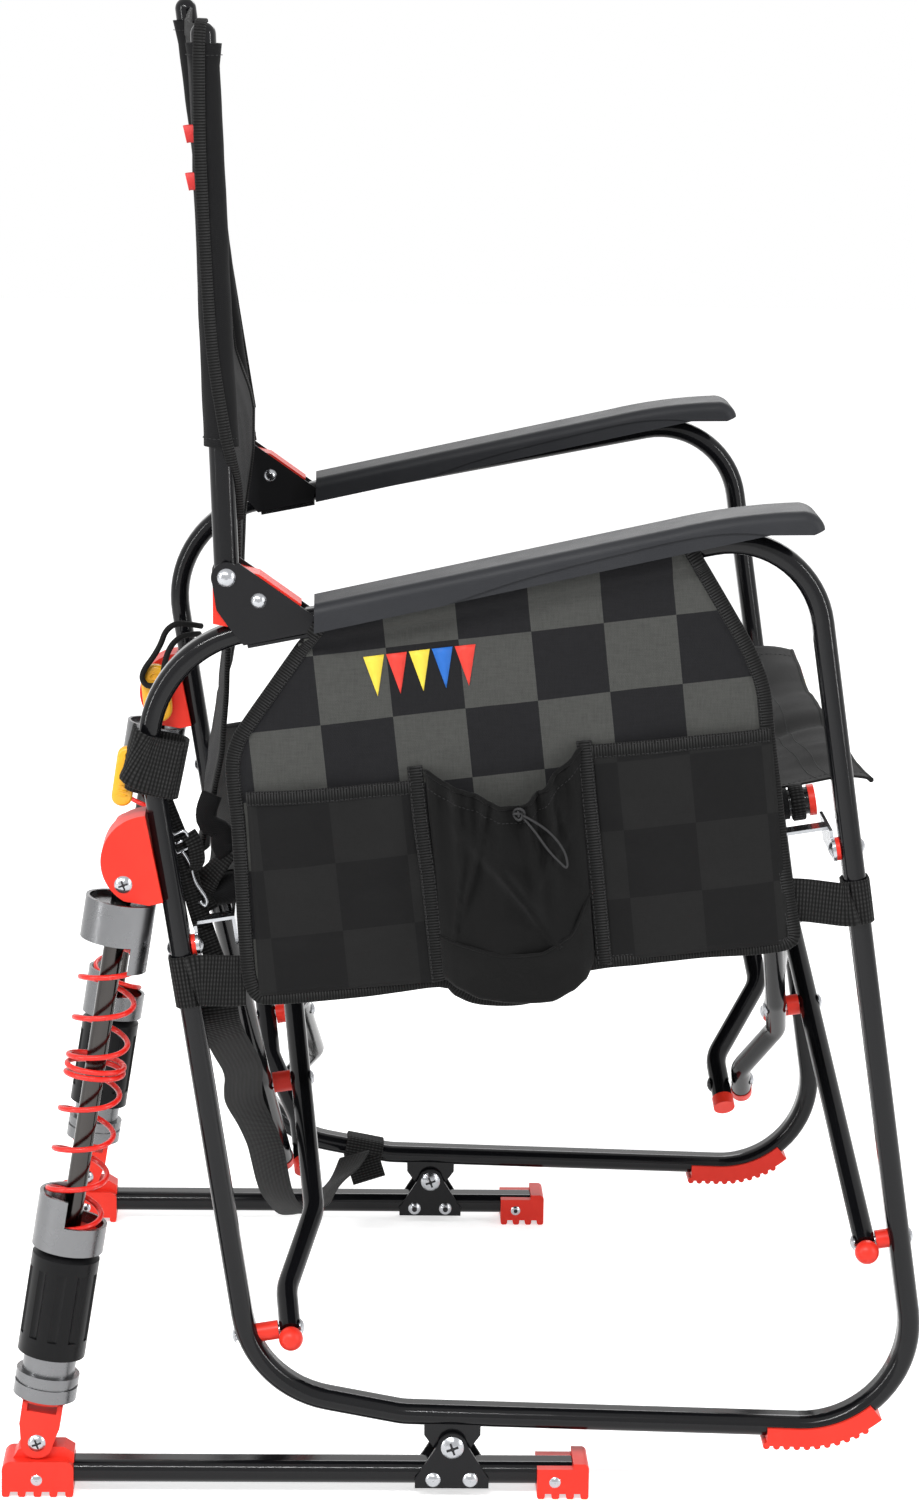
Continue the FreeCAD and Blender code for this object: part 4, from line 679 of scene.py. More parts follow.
def add_pennants():
    # A short row of plain bunting triangles
    points = {"yellow": [], "red": [], "blue": []}
    along = vec(0.052, 0, 0.0066).normalized()
    down = vec(0.0059, 0, -0.0503).normalized()
    start = vec(-0.0835, 0, 0.634)
    for i, color in enumerate(("yellow", "red", "yellow", "blue", "red")):
        left = start + along * (0.0165 * i)
        right = left + along * 0.015
        points[color].append((left, right, (left + right) / 2 + down * 0.03))
    steps = 6
    for color, shapes in points.items():
        made, faces = [], []
        for left, right, tip in shapes:
            a = len(made)
            for k in range(steps + 1):
                for side in (left, right):
                    p = side.lerp(tip, k / steps * 0.985)
                    made.append(panel_point(p.x, p.z, 0.0008))
                if k:
                    faces.append((a + 2 * k - 2, a + 2 * k - 1, a + 2 * k + 1, a + 2 * k))
        add_piece("panel_print_" + color, made, faces, "check_cloth", "side_right", PRINT[color], thick=0.0002)


def add_flat_pocket(name, corners, bulge=0.0045):
    # A patch between top left, top right, low right and low left corners, open along the top
    tl, tr, br, bl = [vec(x, 0, z) for x, z in corners]
    rows = []
    steps = 34
    for k in range(steps + 1):
        v = k / steps
        left, right = tl.lerp(bl, v), tr.lerp(br, v)
        row = []
        for i in range(steps + 1):
            u = i / steps
            p = left.lerp(right, u)
            edge = min(1.0, 6 * min(u, 1 - u)) * min(1.0, 5 * (1 - v))
            puff = bulge * math.sin(math.pi * u) ** 0.6 * (1 - 0.55 * v) * edge ** 0.5
            pleat = rumple((p.x, v * 0.2, p.z), 0.035, 0.0026, 5) * edge
            pleat += rumple((p.x + p.z, 0, p.z - p.x), 0.055, 0.0024, 9) * edge
            row.append(vec(p.x, PANEL_Y - 0.0028 - puff - max(-0.0012, pleat), p.z))
        rows.append(row)
    sheet = grid(name, rows, "mesh_cloth", "side_right", 0.0006)
    hem = moved(rows[0], y=-0.0004, z=-0.0052)
    tape = band(name + "_hem", smooth_line(hem, 0.006), (0, 0, 1), 0.0104, 0.0018, paint=RIBBED)
    for part, lift in (("high", 0.004), ("low", -0.004)):
        line = smooth_line(moved(hem, y=-0.001, z=lift))
        beads(name + "_hem_" + part, line, (0, 1, 0), 0.0024, 0.00028, 0.0034)


def add_divider(name, points):
    # Tape sewn down the panel through (x, z) points, each with its lift off the panel
    line = smooth_line([vec(x, PANEL_Y - y, z) for x, z, y in points], 0.005)
    band(name, line, (1, 0, 0), 0.0112, 0.0024, paint=RIBBED)
    for part, shift in (("rear", -0.0044), ("front", 0.0044)):
        beads(name + "_seam_" + part, moved(line, shift, -0.0014), (0, 1, 0), 0.0028, 0.00034, 0.0038)


# Heights of the bottle pocket's lines from its rear (0) to its front (1)
BOTTLE_RIM = [(0.0, 0.5515), (0.12, 0.5435), (0.28, 0.5375), (0.45, 0.53), (0.58, 0.529), (0.72, 0.54),
              (0.86, 0.556), (1.0, 0.57)]
BOTTLE_FOOT = [(0.0, 0.403), (0.1, 0.396), (0.24, 0.3905), (0.5, 0.389), (0.7, 0.39), (0.84, 0.396),
               (0.93, 0.403), (1.0, 0.416)]
BOTTLE_SEAM = [(0.0, 0.43), (0.15, 0.427), (0.4, 0.4235), (0.65, 0.4255), (0.84, 0.435), (1.0, 0.462)]
BOTTLE_DEPTH = [(0.0, 0.03), (0.25, 0.034), (0.6, 0.029), (0.85, 0.021), (1.2, 0.015)]
# Each crease: share of the width, height, slope, length and how far it stands out
CREASES = [
    (0.46, 0.478, -0.12, 0.26, 0.0068),
    (0.6, 0.456, -0.17, 0.24, 0.0062),
    (0.4, 0.498, -0.05, 0.16, 0.0036),
    (0.76, 0.492, 0.15, 0.14, 0.004),
    (0.22, 0.47, 0.3, 0.07, 0.005),
    (0.33, 0.515, 0.42, 0.06, 0.0052),
    (0.14, 0.455, 0.6, 0.05, 0.004),
    (0.84, 0.52, -0.5, 0.05, 0.004),
]
BOTTLE_WIDE = 0.11


def bottle_point(u, z, out):
    # The pocket's skin at share u of its width and height z
    rise = (z - 0.38) / 0.18
    left = -0.0215 - 0.017 * rise
    right = 0.0905 - 0.015 * rise
    x = left + (right - left) * u
    bell = math.sin(math.pi * min(max(u, 0.0), 1.0))
    depth = between(BOTTLE_DEPTH, max(rise, 0.0))
    y = PANEL_Y - 0.003 - depth * bell ** 0.75 - out * min(1.0, bell * 4)
    return vec(x, y, z)


def bottle_folds(u, z):
    # Gathers fan out from the drawcord and slack creases cross the middle
    rise = max(0.0, (z - 0.43) / 0.11)
    gather = math.sin(u * 34 + 1.8 * math.sin(u * 9)) * 0.0042 * rise ** 1.3
    gather += math.sin(u * 71 + 2.0 * math.sin(u * 5)) * 0.0014 * rise ** 2
    knot = math.exp(-((u - 0.56) / 0.1) ** 2) * 0.0045 * max(0.0, rise - 0.55)
    crease = 0.0
    for u0, z0, slope, length, height in CREASES:
        d = (z - z0) - slope * (u - u0)
        reach = math.exp(-((u - u0) / length) ** 2)
        crease += height * reach * math.exp(-(d / 0.0065) ** 2)
    return gather - knot + crease + rumple((u * BOTTLE_WIDE, 0, z), 0.028, 0.004, 2)


def bottle_upper(u, v):
    low = between(BOTTLE_SEAM, u) - 0.004
    z = low + (between(BOTTLE_RIM, u) - low) * v
    edge = min(1.0, 9 * min(u, 1 - u))
    cuff = 0.0014 if v > 0.9 else 0.0
    return bottle_point(u, z, bottle_folds(u, z) * edge + cuff)


def bottle_lower(u, v):
    # The base turns under at its foot, back to the panel
    foot, seam = between(BOTTLE_FOOT, u), between(BOTTLE_SEAM, u)
    turn = min(1.0, v / 0.16) * math.pi / 2
    z = foot + (seam - foot) * max(0.0, (v - 0.16) / 0.84) + 0.004 * (1 - math.cos(turn)) - 0.004
    edge = min(1.0, 9 * min(u, 1 - u))
    p = bottle_point(u, z, 0.0028 + rumple((u * BOTTLE_WIDE, 0, z), 0.02, 0.0022, 7) * edge)
    back = PANEL_Y - 0.001
    p.y = back + (p.y - back) * math.sin(turn) ** 0.8
    return p


def rows_of(shape, across, along):
    return [[shape(i / across, k / along) for i in range(across + 1)] for k in range(along + 1)]


def add_bottle_pocket():
    upper = rows_of(bottle_upper, 60, 40)
    lower = rows_of(bottle_lower, 60, 26)
    skirt = grid("bottle_pocket_upper", upper, "mesh_cloth", "side_right", 0.0007, PLAIN_CLOTH)
    base = grid("bottle_pocket_base", lower, "mesh_cloth", "side_right", 0.0009, PLAIN_CLOTH)
    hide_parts("panel_pockets")
    lip = smooth_line(moved(lower[-1], y=-0.0002))
    welt = rope("bottle_pocket_welt", lip, 0.0011, "mesh_cloth", paint=PLAIN_CLOTH, around=8)
    rim = smooth_line(moved(upper[-1], y=-0.0003))
    cord_channel = rope("bottle_pocket_rim", rim, 0.0017, "mesh_cloth", paint=PLAIN_CLOTH, around=8)
    seam = smooth_line(moved(upper[36], y=-0.0008))
    beads("bottle_pocket_seam", seam, (0, 1, 0), 0.0026, 0.0003, 0.0036, "mesh_cloth")


def add_drawcord():
    # A thin elastic loop hanging from its knot at the gathered rim
    start = (0.029, -0.3655, 0.5262)
    steps = [
        (0, 0, 0), (0.004, -0.0035, -0.003), (0.013, -0.004, -0.014), (0.022, -0.003, -0.027),
        (0.031, -0.002, -0.036), (0.035, -0.001, -0.04), (0.036, 0, -0.036), (0.033, -0.0016, -0.026),
        (0.024, -0.0036, -0.014), (0.012, -0.0046, -0.005), (0.003, -0.0046, -0.0005),
    ]
    route = [tuple(a + b for a, b in zip(start, step)) for step in steps]
    cord = spline_cord("pocket_drawcord", route, 0.0009, THREAD, "side_right")
    turns = []
    for k in range(28):
        angle = k * math.tau / 9
        x = 0.004 * math.cos(angle) * math.cos(k * 0.11)
        z = 0.0044 * math.sin(angle) * math.cos(k * 0.07)
        turns.append(Vector(start) + vec(x, -0.0024 - 0.0016 * math.sin(angle * 1.5), z))
    knot = rope("pocket_drawcord_knot", smooth_line(turns, 0.0012), 0.001, "black_webbing", paint=THREAD, around=8)
    spline_length(cord)


# Webbing on the side frame

def upright_x(low, high, z):
    return low[0] + (high[0] - low[0]) * (z - low[1]) / (high[1] - low[1])


def add_tube_loop(name, low, high, z, width, tail):
    # Webbing once round an upright, its tail run out behind the panel's edge
    x = upright_x(low, high, z)
    up = vec(high[0] - low[0], 0, high[1] - low[1]).normalized()
    ahead = vec(up.z, 0, -up.x)
    centre = vec(x, -SIDE, z)
    sign = 1 if tail > x else -1
    ring = ring_line(TUBE_HIGH / 2 + 0.0014, TUBE_WIDE / 2 + 0.0014, 0.0075)
    line = [centre + ahead * (a * sign) + vec(0, b, 0) for a, b in ring[12:] + ring[:12]]
    reach = [
        centre + ahead * (sign * 0.004) + vec(0, -TUBE_WIDE / 2 - 0.003, 0),
        centre + ahead * (sign * 0.0105) + vec(0, -TUBE_WIDE / 2 - 0.0012, 0),
        vec(x + (tail - x) * 0.72, PANEL_Y - 0.0002, z),
        vec(tail, PANEL_Y + 0.0012, z),
    ]
    band(name + "_loop", smooth_line(line, 0.003), up, width, 0.002, closed=True)
    band(name + "_tail", smooth_line(reach, 0.003), up, width * 0.985, 0.002)


def add_clip_band():
    # Hook and loop strap slung askew round the upright, its end lapped over
    z = 0.553
    tilted = vec(0.19, 0, 0.982)
    ahead = vec(0.982, 0, -0.19)
    centre = vec(upright_x(REAR_LOW, REAR_TOP, z) + 0.0045, -SIDE, z)
    ring = ring_line(0.0185, TUBE_WIDE / 2 + 0.0016, 0.0085)
    line = [centre + ahead * a + vec(0, b, 0) for a, b in ring + ring[:1]]
    band("clip_band", smooth_line(line, 0.003), tilted, 0.043, 0.0026)
    lap = []
    for reach, out, rise in ((0.015, 0.0167, 0), (-0.004, 0.0175, 0.001), (-0.013, 0.0177, 0.003),
                             (-0.0185, 0.0145, 0.006), (-0.0205, 0.005, 0.009)):
        lap.append(centre + ahead * reach + vec(0, -out, rise))
    band("clip_band_end", smooth_line(lap, 0.003), tilted, 0.04, 0.0024)


def add_carry_strap():
    near = SIDE - TUBE_WIDE / 2 - 0.0041
    route = [
        (-0.187, -near, 0.4), (-0.186, -near, 0.378), (-0.181, -near + 0.02, 0.34),
        (-0.165, -0.42 * SIDE, 0.24), (-0.138, 0.0, 0.12), (-0.118, 0.12, 0.074),
        (-0.092, SIDE - 0.07, 0.058), (-0.079, 0.312, 0.064),
    ]
    line = smooth_line(route, 0.006)
    sides = []
    for i, point in enumerate(line):
        t = i / (len(line) - 1)
        twist = 0.28 * math.sin(t * 9.0) + 0.5 * max(0.0, t - 0.45)
        sides.append(vec(math.cos(twist), 0.2 * math.sin(twist), math.sin(twist)))
        point.x += rumple(point, 0.09, 0.006, 4)
    strap = band("carry_webbing", line, sides, 0.03, 0.0018)
    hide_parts("carry_strap")
    # Its far end goes once round the lower run of the left frame
    rear_x, rear_z = REAR_LOW
    run_x, run_z = -0.047, 0.0615
    slope = math.atan2(run_z - rear_z, run_x - rear_x)
    x = -0.07
    centre = vec(x, SIDE, rear_z + (x - rear_x) * math.tan(slope))
    ahead = vec(math.cos(slope), 0, math.sin(slope))
    up = vec(-ahead.z, 0, ahead.x)
    oblong = ring_line(TUBE_WIDE / 2 + 0.0013, TUBE_HIGH / 2 + 0.0013, 0.0075)
    ring = [centre + vec(0, a, 0) + up * b for a, b in oblong]
    loop = band("carry_webbing_loop", smooth_line(ring, 0.003), ahead, 0.033, 0.0018, closed=True)
    flap = [
        centre + vec(0, -0.015, 0) - up * 0.006, centre + vec(0.004, -0.0165, 0) - up * 0.014,
        centre + vec(0.01, -0.0175, 0) - up * 0.026,
    ]
    end = band("carry_webbing_end", smooth_line(flap, 0.003), ahead, 0.03, 0.0018)
    narrow(strap, loop, end)


def add_strap_head():
    # The strap's upper end comes down from the hook and loop band through a wire buckle
    y = -0.311
    route = [(-0.229, y, 0.525), (-0.2215, y, 0.506), (-0.213, y, 0.484), (-0.206, y + 0.001, 0.456),
             (-0.197, y + 0.002, 0.425), (-0.1885, y + 0.001, 0.401)]
    head = band("strap_head", smooth_line(route), (1, 0.35, 0.2), 0.015, 0.0018)
    back = [(-0.209, y - 0.002, 0.498), (-0.204, y - 0.004, 0.49), (-0.202, y - 0.003, 0.476),
            (-0.206, y - 0.001, 0.469)]
    fold = band("strap_fold", smooth_line(back, 0.003), (0.8, 0.5, 0.3), 0.013, 0.0018)
    up = vec(-0.42, 0, 0.91)
    ahead = vec(0.91, 0, 0.42)
    centre = vec(-0.216, y - 0.003, 0.491)
    half_wide = 0.0082
    outline = [centre + ahead * a + up * b for a, b in ring_line(half_wide, 0.007, 0.0028)]
    for point in outline:
        point.y -= 0.0016 * math.sin((point - centre).dot(up) * 160)
    crossbar = [centre - ahead * half_wide, centre, centre + ahead * half_wide]
    hook_line = [centre - up * 0.007 + vec(0, -0.001, 0)]
    for drop, reach in ((0.018, 0.001), (0.032, -0.001), (0.046, 0.001), (0.051, -0.002), (0.046, -0.004)):
        hook_line.append(centre - up * drop + ahead * reach)
    wires = []
    for name, line, radius, closed in (
        ("strap_buckle", smooth_line(outline, 0.002), 0.0012, True),
        ("strap_buckle_bar", crossbar, 0.0011, False),
        ("strap_hook", smooth_line(hook_line, 0.002), 0.0013, False),
    ):
        wires.append(rope(name, line, radius, "bright_steel", closed=closed, side=(0, 1, 0)))
    narrow(head, fold, *wires)


def add_catch(name, body, centre, lean, half_wide, low, high, half_deep, slot_high):
    # Moulded catch with rounded faces, a slot for its cord and ribs for the finger
    tilt = math.radians(lean)
    up = vec(-math.sin(tilt), 0, math.cos(tilt))
    ahead = vec(math.cos(tilt), 0, math.sin(tilt))
    outline = ring_line(half_wide, (high - low) / 2, half_wide * 0.92, 5)
    middle = centre + up * ((high + low) / 2)
    points = []
    for deep, share in ((-1, 0.8), (-0.82, 0.95), (-0.4, 1.0), (0.4, 1.0), (0.82, 0.95), (1, 0.8)):
        for a, b in outline:
            points.append(middle + ahead * (a * share) + up * (b * (1 + share) / 2) + vec(0, half_deep * deep, 0))
    piece = add_piece(name, points, joined(len(outline), 6), "yellow_plastic", body)
    amber = PAINT["yellow_plastic"]
    grip = [centre + up * (low + 0.007 + 0.0035 * k) + vec(0, -half_deep, 0) for k in range(4)]
    beads(name + "_grip", smooth_line(grip), ahead, half_wide * 1.1, 0.0008, 0.0032, "yellow_plastic", body,
          amber, True)
    eye = []
    for k in range(14):
        a = math.tau * k / 14
        around = ahead * (half_wide * 0.3 * math.cos(a)) + up * (0.003 * math.sin(a))
        eye.append(centre + up * slot_high + around + vec(0, -half_deep - 0.0002, 0))
    rope(name + "_eye", eye, 0.0009, "yellow_plastic", body, closed=True, around=6, side=(0, 1, 0))
    return piece


def add_catches():
    place = vec(-0.2535, -SIDE - 0.002, 0.548)
    near = add_catch("catch_right", "side_right", place, -8.0, 0.0075, -0.026, 0.018, 0.005, 0.012)
    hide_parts("lock_clip_right")
    place = vec(-0.256, SIDE - 0.026, 0.485)
    far = add_catch("catch_left", "side_left", place, 6.0, 0.0125, -0.026, 0.025, 0.006, 0.015)
    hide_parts("lock_clip_left")
    y = SIDE - 0.031
    route = [
        (-0.2175, SIDE - 0.015, 0.542), (-0.229, y + 0.004, 0.546), (-0.24, y, 0.547), (-0.2485, y, 0.54),
        (-0.252, y - 0.002, 0.529), (-0.259, y - 0.004, 0.517), (-0.266, y - 0.005, 0.508),
        (-0.269, y - 0.004, 0.499), (-0.2645, y - 0.006, 0.4925), (-0.256, y - 0.008, 0.493),
        (-0.25, y - 0.008, 0.5), (-0.249, y - 0.007, 0.511), (-0.246, y - 0.004, 0.523),
        (-0.24, y - 0.001, 0.532), (-0.23, y + 0.004, 0.537), (-0.219, SIDE - 0.015, 0.535),
    ]
    loop = spline_cord("catch_cord", route, 0.0026, WEBBING, "side_left")
    spline_length(loop)


# Back cloth

POST_FOOT = vec(-0.1816, 0, 0.6913)
POST_RADIUS = 0.009
POST_LEANS = {-1: math.radians(2.8), 1: math.radians(7.8)}
NEAR_SLEEVE_FOOT = 0.784
BACK_EDGE_X = [(0.42, -0.2035), (0.47, -0.202), (0.505, -0.196), (0.52, -0.1915), (0.556, -0.1855),
               (0.6, -0.1825), (0.64, -0.1815), (0.7, -0.1745), (0.75, -0.1745), (0.784, -0.181)]
BACK_EDGE_Y = [(0.42, 0.262), (0.47, 0.262), (0.51, 0.272), (0.56, 0.284), (0.66, 0.302), (0.72, 0.314),
               (0.784, 0.3195)]
BACK_SAG = [(0.42, 0.001), (0.51, 0.002), (0.6, 0.004), (0.72, 0.009), (0.8, 0.012), (0.9, 0.012), (1.07, 0.008)]


def post_at(side, z):
    return vec(POST_FOOT.x - (z - POST_FOOT.z) * math.tan(POST_LEANS[side]), side * SIDE, z)


def add_sleeve(side, body, name, low, high):
    # Cloth wrapped close round a post, a little fuller towards its foot
    rows = []
    for k in range(73):
        t = k / 72
        z = low + (high - low) * t
        flare = 0.0022 * max(0.0, 1 - (1 - t) * 18)
        row = []
        for i in range(37):
            angle = math.tau * i / 36
            a, b = math.cos(angle), math.sin(angle)
            radius = POST_RADIUS + 0.001 + 0.0022 * (1 - t)
            radius += rumple((a * 0.02, b * 0.02, z), 0.03, 0.0009, 3 + side)
            row.append(post_at(side, z) + vec((radius + flare) * a, (radius + flare * 0.3) * b, 0))
        rows.append(row)
    grid(name, rows, "black_cloth", body, 0.0009)
    for part, z in (("foot", low + 0.006), ("head", high - 0.008)):
        angles = [math.tau * i / 24 for i in range(25)]
        line = [post_at(side, z) + vec(0.0128 * math.cos(a), 0.0128 * math.sin(a), 0) for a in angles]
        beads(name + "_" + part, smooth_line(line), (0, 0, 1), 0.0026, 0.0003, 0.0036, "black_cloth", body)


def back_point(u, z):
    # On the posts' inner sides down to the near sleeve's foot, and on the loose side edges below it
    right, left = post_at(-1, z), post_at(1, z)
    if z >= NEAR_SLEEVE_FOOT:
        right += vec(0.004, POST_RADIUS + 0.0015, 0)
        left += vec(0.004, -POST_RADIUS - 0.0015, 0)
    else:
        x, y = between(BACK_EDGE_X, z), between(BACK_EDGE_Y, z)
        share = min(1.0, (NEAR_SLEEVE_FOOT - z) / 0.05)
        right = vec(x, -y, z)
        left = vec(x + (left.x + 0.004 - x) * (1 - share), y, z)
    p = right.lerp(left, u)
    p.x -= between(BACK_SAG, z) * 4 * u * (1 - u)
    return p


def back_fold(u, z):
    # Slack gathers low down and long soft draws from the sleeves' feet
    low = max(0.0, (0.8 - z) / 0.36)
    edge = min(1.0, 6 * min(u, 1 - u))
    folds = rumple((u * 0.66, 0, z), 0.16, 0.01, 1) * edge * (0.4 + 0.3 * low)
    return folds + rumple((u * 0.66 + z * 0.4, 0, z * 0.6), 0.05, 0.004, 6) * edge * (0.4 + 0.6 * low)


def back_shape(u, v):
    top = 1.066 + 0.004 * u
    seam = 0.436 + 0.034 * (2 * u - 1) ** 2
    z = top + (seam - top) * v
    p = back_point(u, z)
    p.x += back_fold(u, z)
    return p


def add_back():
    add_sleeve(-1, "side_right", "back_sleeve_right", NEAR_SLEEVE_FOOT, 1.066)
    add_sleeve(1, "side_left", "back_sleeve_left", 0.704, 1.062)
    rows = rows_of(back_shape, 72, 130)
    back = grid("back_sheet", rows, "black_cloth", "side_right", 0.0011)
    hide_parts("back_cloth")
    hem = smooth_line(moved(rows[0], 0.0006, 0, -0.0035), 0.008)
    tape = band("back_top_hem", hem, (0, 0, 1), 0.014, 0.0022, "black_cloth")
    edges = []
    for name, side in SIDES:
        line = smooth_line([row[0 if side < 0 else -1] for row in rows[56:]], 0.006)
        edges.append(band("back_edge_" + name, line, (0.2, side, 0), 0.009, 0.0036, paint=RIBBED))
    narrow(back, tape, *edges)


def add_edge_tape():
    # Overlocked tape down the near sleeve, turned over the post's tip and run on below the sleeve
    out = -SIDE - POST_RADIUS - 0.0042
    route = [
        (-0.201, -SIDE + 0.006, 1.077), (-0.2012, -SIDE + 0.001, 1.0822), (-0.2018, -SIDE - 0.008, 1.08),
        (-0.2026, out + 0.0008, 1.07), (-0.2028, out, 1.05), (-0.2017, out, 0.9927), (-0.1979, out, 0.9232),
        (-0.1925, out, 0.8531), (-0.1838, out - 0.0002, 0.798), (-0.179, -SIDE - 0.009, 0.776),
        (-0.1752, -SIDE + 0.002, 0.754), (-0.1737, -SIDE + 0.012, 0.73),
    ]
    line = smooth_line(route)
    width = 0.0086
    band("back_tape", line, (1, 0.05, 0), width, 0.0016, paint=RIBBED)
    beads("back_tape_ribs", line, (1, 0.05, 0), width, 0.00115, 0.0021, paint=RIBBED, turned=True)
    far = [post_at(1, 1.06 - k * 0.03) + vec(0.001 * k, 0.0135, 0) for k in range(12)]
    band("back_tape_left", smooth_line(far, 0.006), (1, 0, 0), width, 0.0016, body="side_left", paint=RIBBED)


def add_back_tabs():
    # Two small fabric tabs sewn into the near sleeve's rear seam
    for i, z in enumerate((1.0035, 0.9705)):
        base = post_at(-1, z) + vec(-0.0105, -0.0045, 0)
        line = [base + vec(0.002, 0, 0), base + vec(-0.0025, 0, 0), base + vec(-0.0052, 0, -0.0005)]
        band("back_tab_%d" % i, smooth_line(line, 0.001), (0, 0, 1), 0.0125, 0.0016, "red_plastic", paint=TAB_RED)


# Seat

SEAT_REAR, SEAT_FRONT = -0.1997, 0.2945
SEAT_HALF = [(SEAT_REAR, 0.284), (0.19, 0.284), (0.238, 0.282), (SEAT_FRONT, 0.27)]
SEAT_SAG = [(SEAT_REAR, 0.04), (-0.1, 0.048), (0.0, 0.048), (0.1, 0.042), (0.19, 0.03), (0.238, 0.02),
            (SEAT_FRONT, 0.009)]
SEAT_STRIPES = (("blue", 1, 12), ("yellow", 13, 22), ("red", 23, 38), ("blue", 42, 56), ("yellow", 57, 66),
                ("red", 67, 79))


def fold_point(s, y):
    # A point on a seat rail's line, s along the fold axis
    rise = RAIL_HIGH + PIVOT_RISE * math.cos(TILT)
    return vec(s * math.cos(TILT) - rise * math.sin(TILT), y, s * math.sin(TILT) + rise * math.cos(TILT))


def seat_point(u, v):
    # u across from the sitter's right, v from the rear edge to the front
    bow = 4 * u * (1 - u)
    x = SEAT_REAR + (SEAT_FRONT - 0.003 * bow - SEAT_REAR) * v
    half = between(SEAT_HALF, x)
    y = -half + 2 * half * u
    start = fold_point(0, 0)
    z = start.z + math.tan(TILT) * (x - start.x) + 0.0124 - between(SEAT_SAG, x) * bow ** 0.85
    z -= 0.006 * math.exp(-((u - 0.5) / 0.035) ** 2) * min(1.0, 3 * v)
    z -= 0.006 * (max(0.0, x - 0.262) / 0.03) ** 2
    edge = min(1.0, 5 * min(u, 1 - u))
    z += rumple((x, y, 0), 0.09, 0.005, 8) * edge + rumple((x, y, 0), 0.03, 0.0016, 4) * edge
    return vec(x, y, z)


def add_seat():
    rows = rows_of(seat_point, 80, 100)
    seat = grid("seat_sheet", rows, "black_cloth", "cross_b_right", 0.0016, SEAT_CLOTH)
    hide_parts("seat_cloth")
    hem = smooth_line(moved(rows[-1], -0.0002, 0, -0.0004), 0.006)
    parts = [seat, rope("seat_front_welt", hem, 0.0021, "black_cloth", "cross_b_right", SEAT_CLOTH, around=8)]
    lines = {"front_seam_a": rows[94], "front_seam_b": rows[92]}
    for name, column in (("side_seam_right", 4), ("side_seam_left", 76), ("middle_seam", 40)):
        lines[name] = [row[column] for row in rows]
    for name, line in lines.items():
        lift, radius, pitch = (0.0008, 0.0003, 0.0042) if name == "middle_seam" else (0.001, 0.00034, 0.004)
        line = smooth_line(moved(line, z=lift))
        parts.append(beads("seat_" + name, line, (0, 0, 1), 0.0028, radius, pitch, "black_cloth", "cross_b_right"))
    # Narrow woven stripes along the front hem, plain blocks of colour
    for part, (color, first, last) in enumerate(SEAT_STRIPES):
        line = smooth_line(moved(rows[-1][first:last + 1], 0.0016, 0, -0.0018), 0.006)
        parts.append(band("seat_stripe_%d" % part, line, (0.3, 0, 1), 0.003, 0.0008, "black_cloth",
                          "cross_b_right", PRINT[color]))
    # Each piece of the seat gets a mesh of its own
    for piece in parts:
        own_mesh(piece)


def add_seat_sleeve(name, side):
    rows = []
    for k in range(93):
        s = -0.129 + 0.441 * k / 92
        closing = 0.32 + 0.68 * min(1.0, k / 2.0)
        row = []
        for i in range(37):
            a, b = math.cos(math.tau * i / 36), math.sin(math.tau * i / 36)
            radius = closing * (0.0118 + rumple((a * 0.02, s, b * 0.02), 0.03, 0.0009, 12 + side))
            row.append(fold_point(s, side * RAIL_HALF) + vec(0, radius * a, 0) + FOLD_RISE * (radius * b))
        rows.append(row)
    grid("seat_sleeve_" + name, rows, "black_cloth", "cross_b_" + name, 0.001)


def add_rail_webbing(name, side):
    # Webbing loop at a seat rail's front end
    ring = []
    for k in range(24):
        angle = math.tau * k / 24
        a, b = 0.0128 * math.cos(angle), 0.0128 * math.sin(angle)
        ring.append(fold_point(0.319, side * RAIL_HALF) + vec(0, a, 0) + FOLD_RISE * b)
    line = smooth_line(ring, 0.003)
    band("rail_webbing_" + name, line, FOLD_AXIS, 0.01, 0.002, body="cross_b_" + name, closed=True)


def add_corner_tie():
    # Gathered near corner of the back, tied down to the rear end of the seat rail
    route = [
        (-0.1925, -0.279, 0.52), (-0.1965, -0.281, 0.508), (-0.195, -0.284, 0.499),
        (-0.184, -0.286, 0.493), (-0.185, -0.288, 0.484), (-0.18, -0.29, 0.477),
    ]
    band("corner_gather_right", smooth_line(route, 0.003), (1, -0.3, 0.4), 0.016, 0.006, "black_cloth",
         "cross_b_right", PAINT["black_cloth"])
    tie = [
        (-0.179, -0.29, 0.479), (-0.188, -0.293, 0.468), (-0.1975, -0.2945, 0.456),
        (-0.201, -0.295, 0.445), (-0.196, -0.2945, 0.434),
    ]
    band("corner_tie_right", smooth_line(tie, 0.003), (0.72, 0, 0.69), 0.02, 0.0022, body="cross_b_right")


# Screws and rivets: x, z, how far the face lies from the middle of the chair, radius and body

# Screws have a drive in this outer face and in the inner one opposite
SCREWS = (
    (-0.01, 0.0388, 0.3497, 0.0085, "base_"), (-0.3183, 0.0405, 0.3478, 0.0065, "base_"),
    (-0.2545, 0.4668, 0.3502, 0.0065, "side_"),
)
# Rivets are hollow at their inner end
HOLLOWS = (
    (-0.024, 0.0135, 0.3112, 0.0056, "base_"), (0.0037, 0.0135, 0.3112, 0.0056, "base_"),
    (0.0668, 0.013, 0.3092, 0.0042, "base_"), (-0.3183, 0.013, 0.3092, 0.0042, "base_"),
    (-0.1816, 0.6913, 0.3116, 0.0066, "side_"), (-0.1585, 0.675, 0.3116, 0.0056, "side_"),
)
# One arm of a cross recess: angle in degrees and share of its reach
CROSS_ARM = ((-9, 1.0), (9, 1.0), (30, 0.36), (60, 0.36))


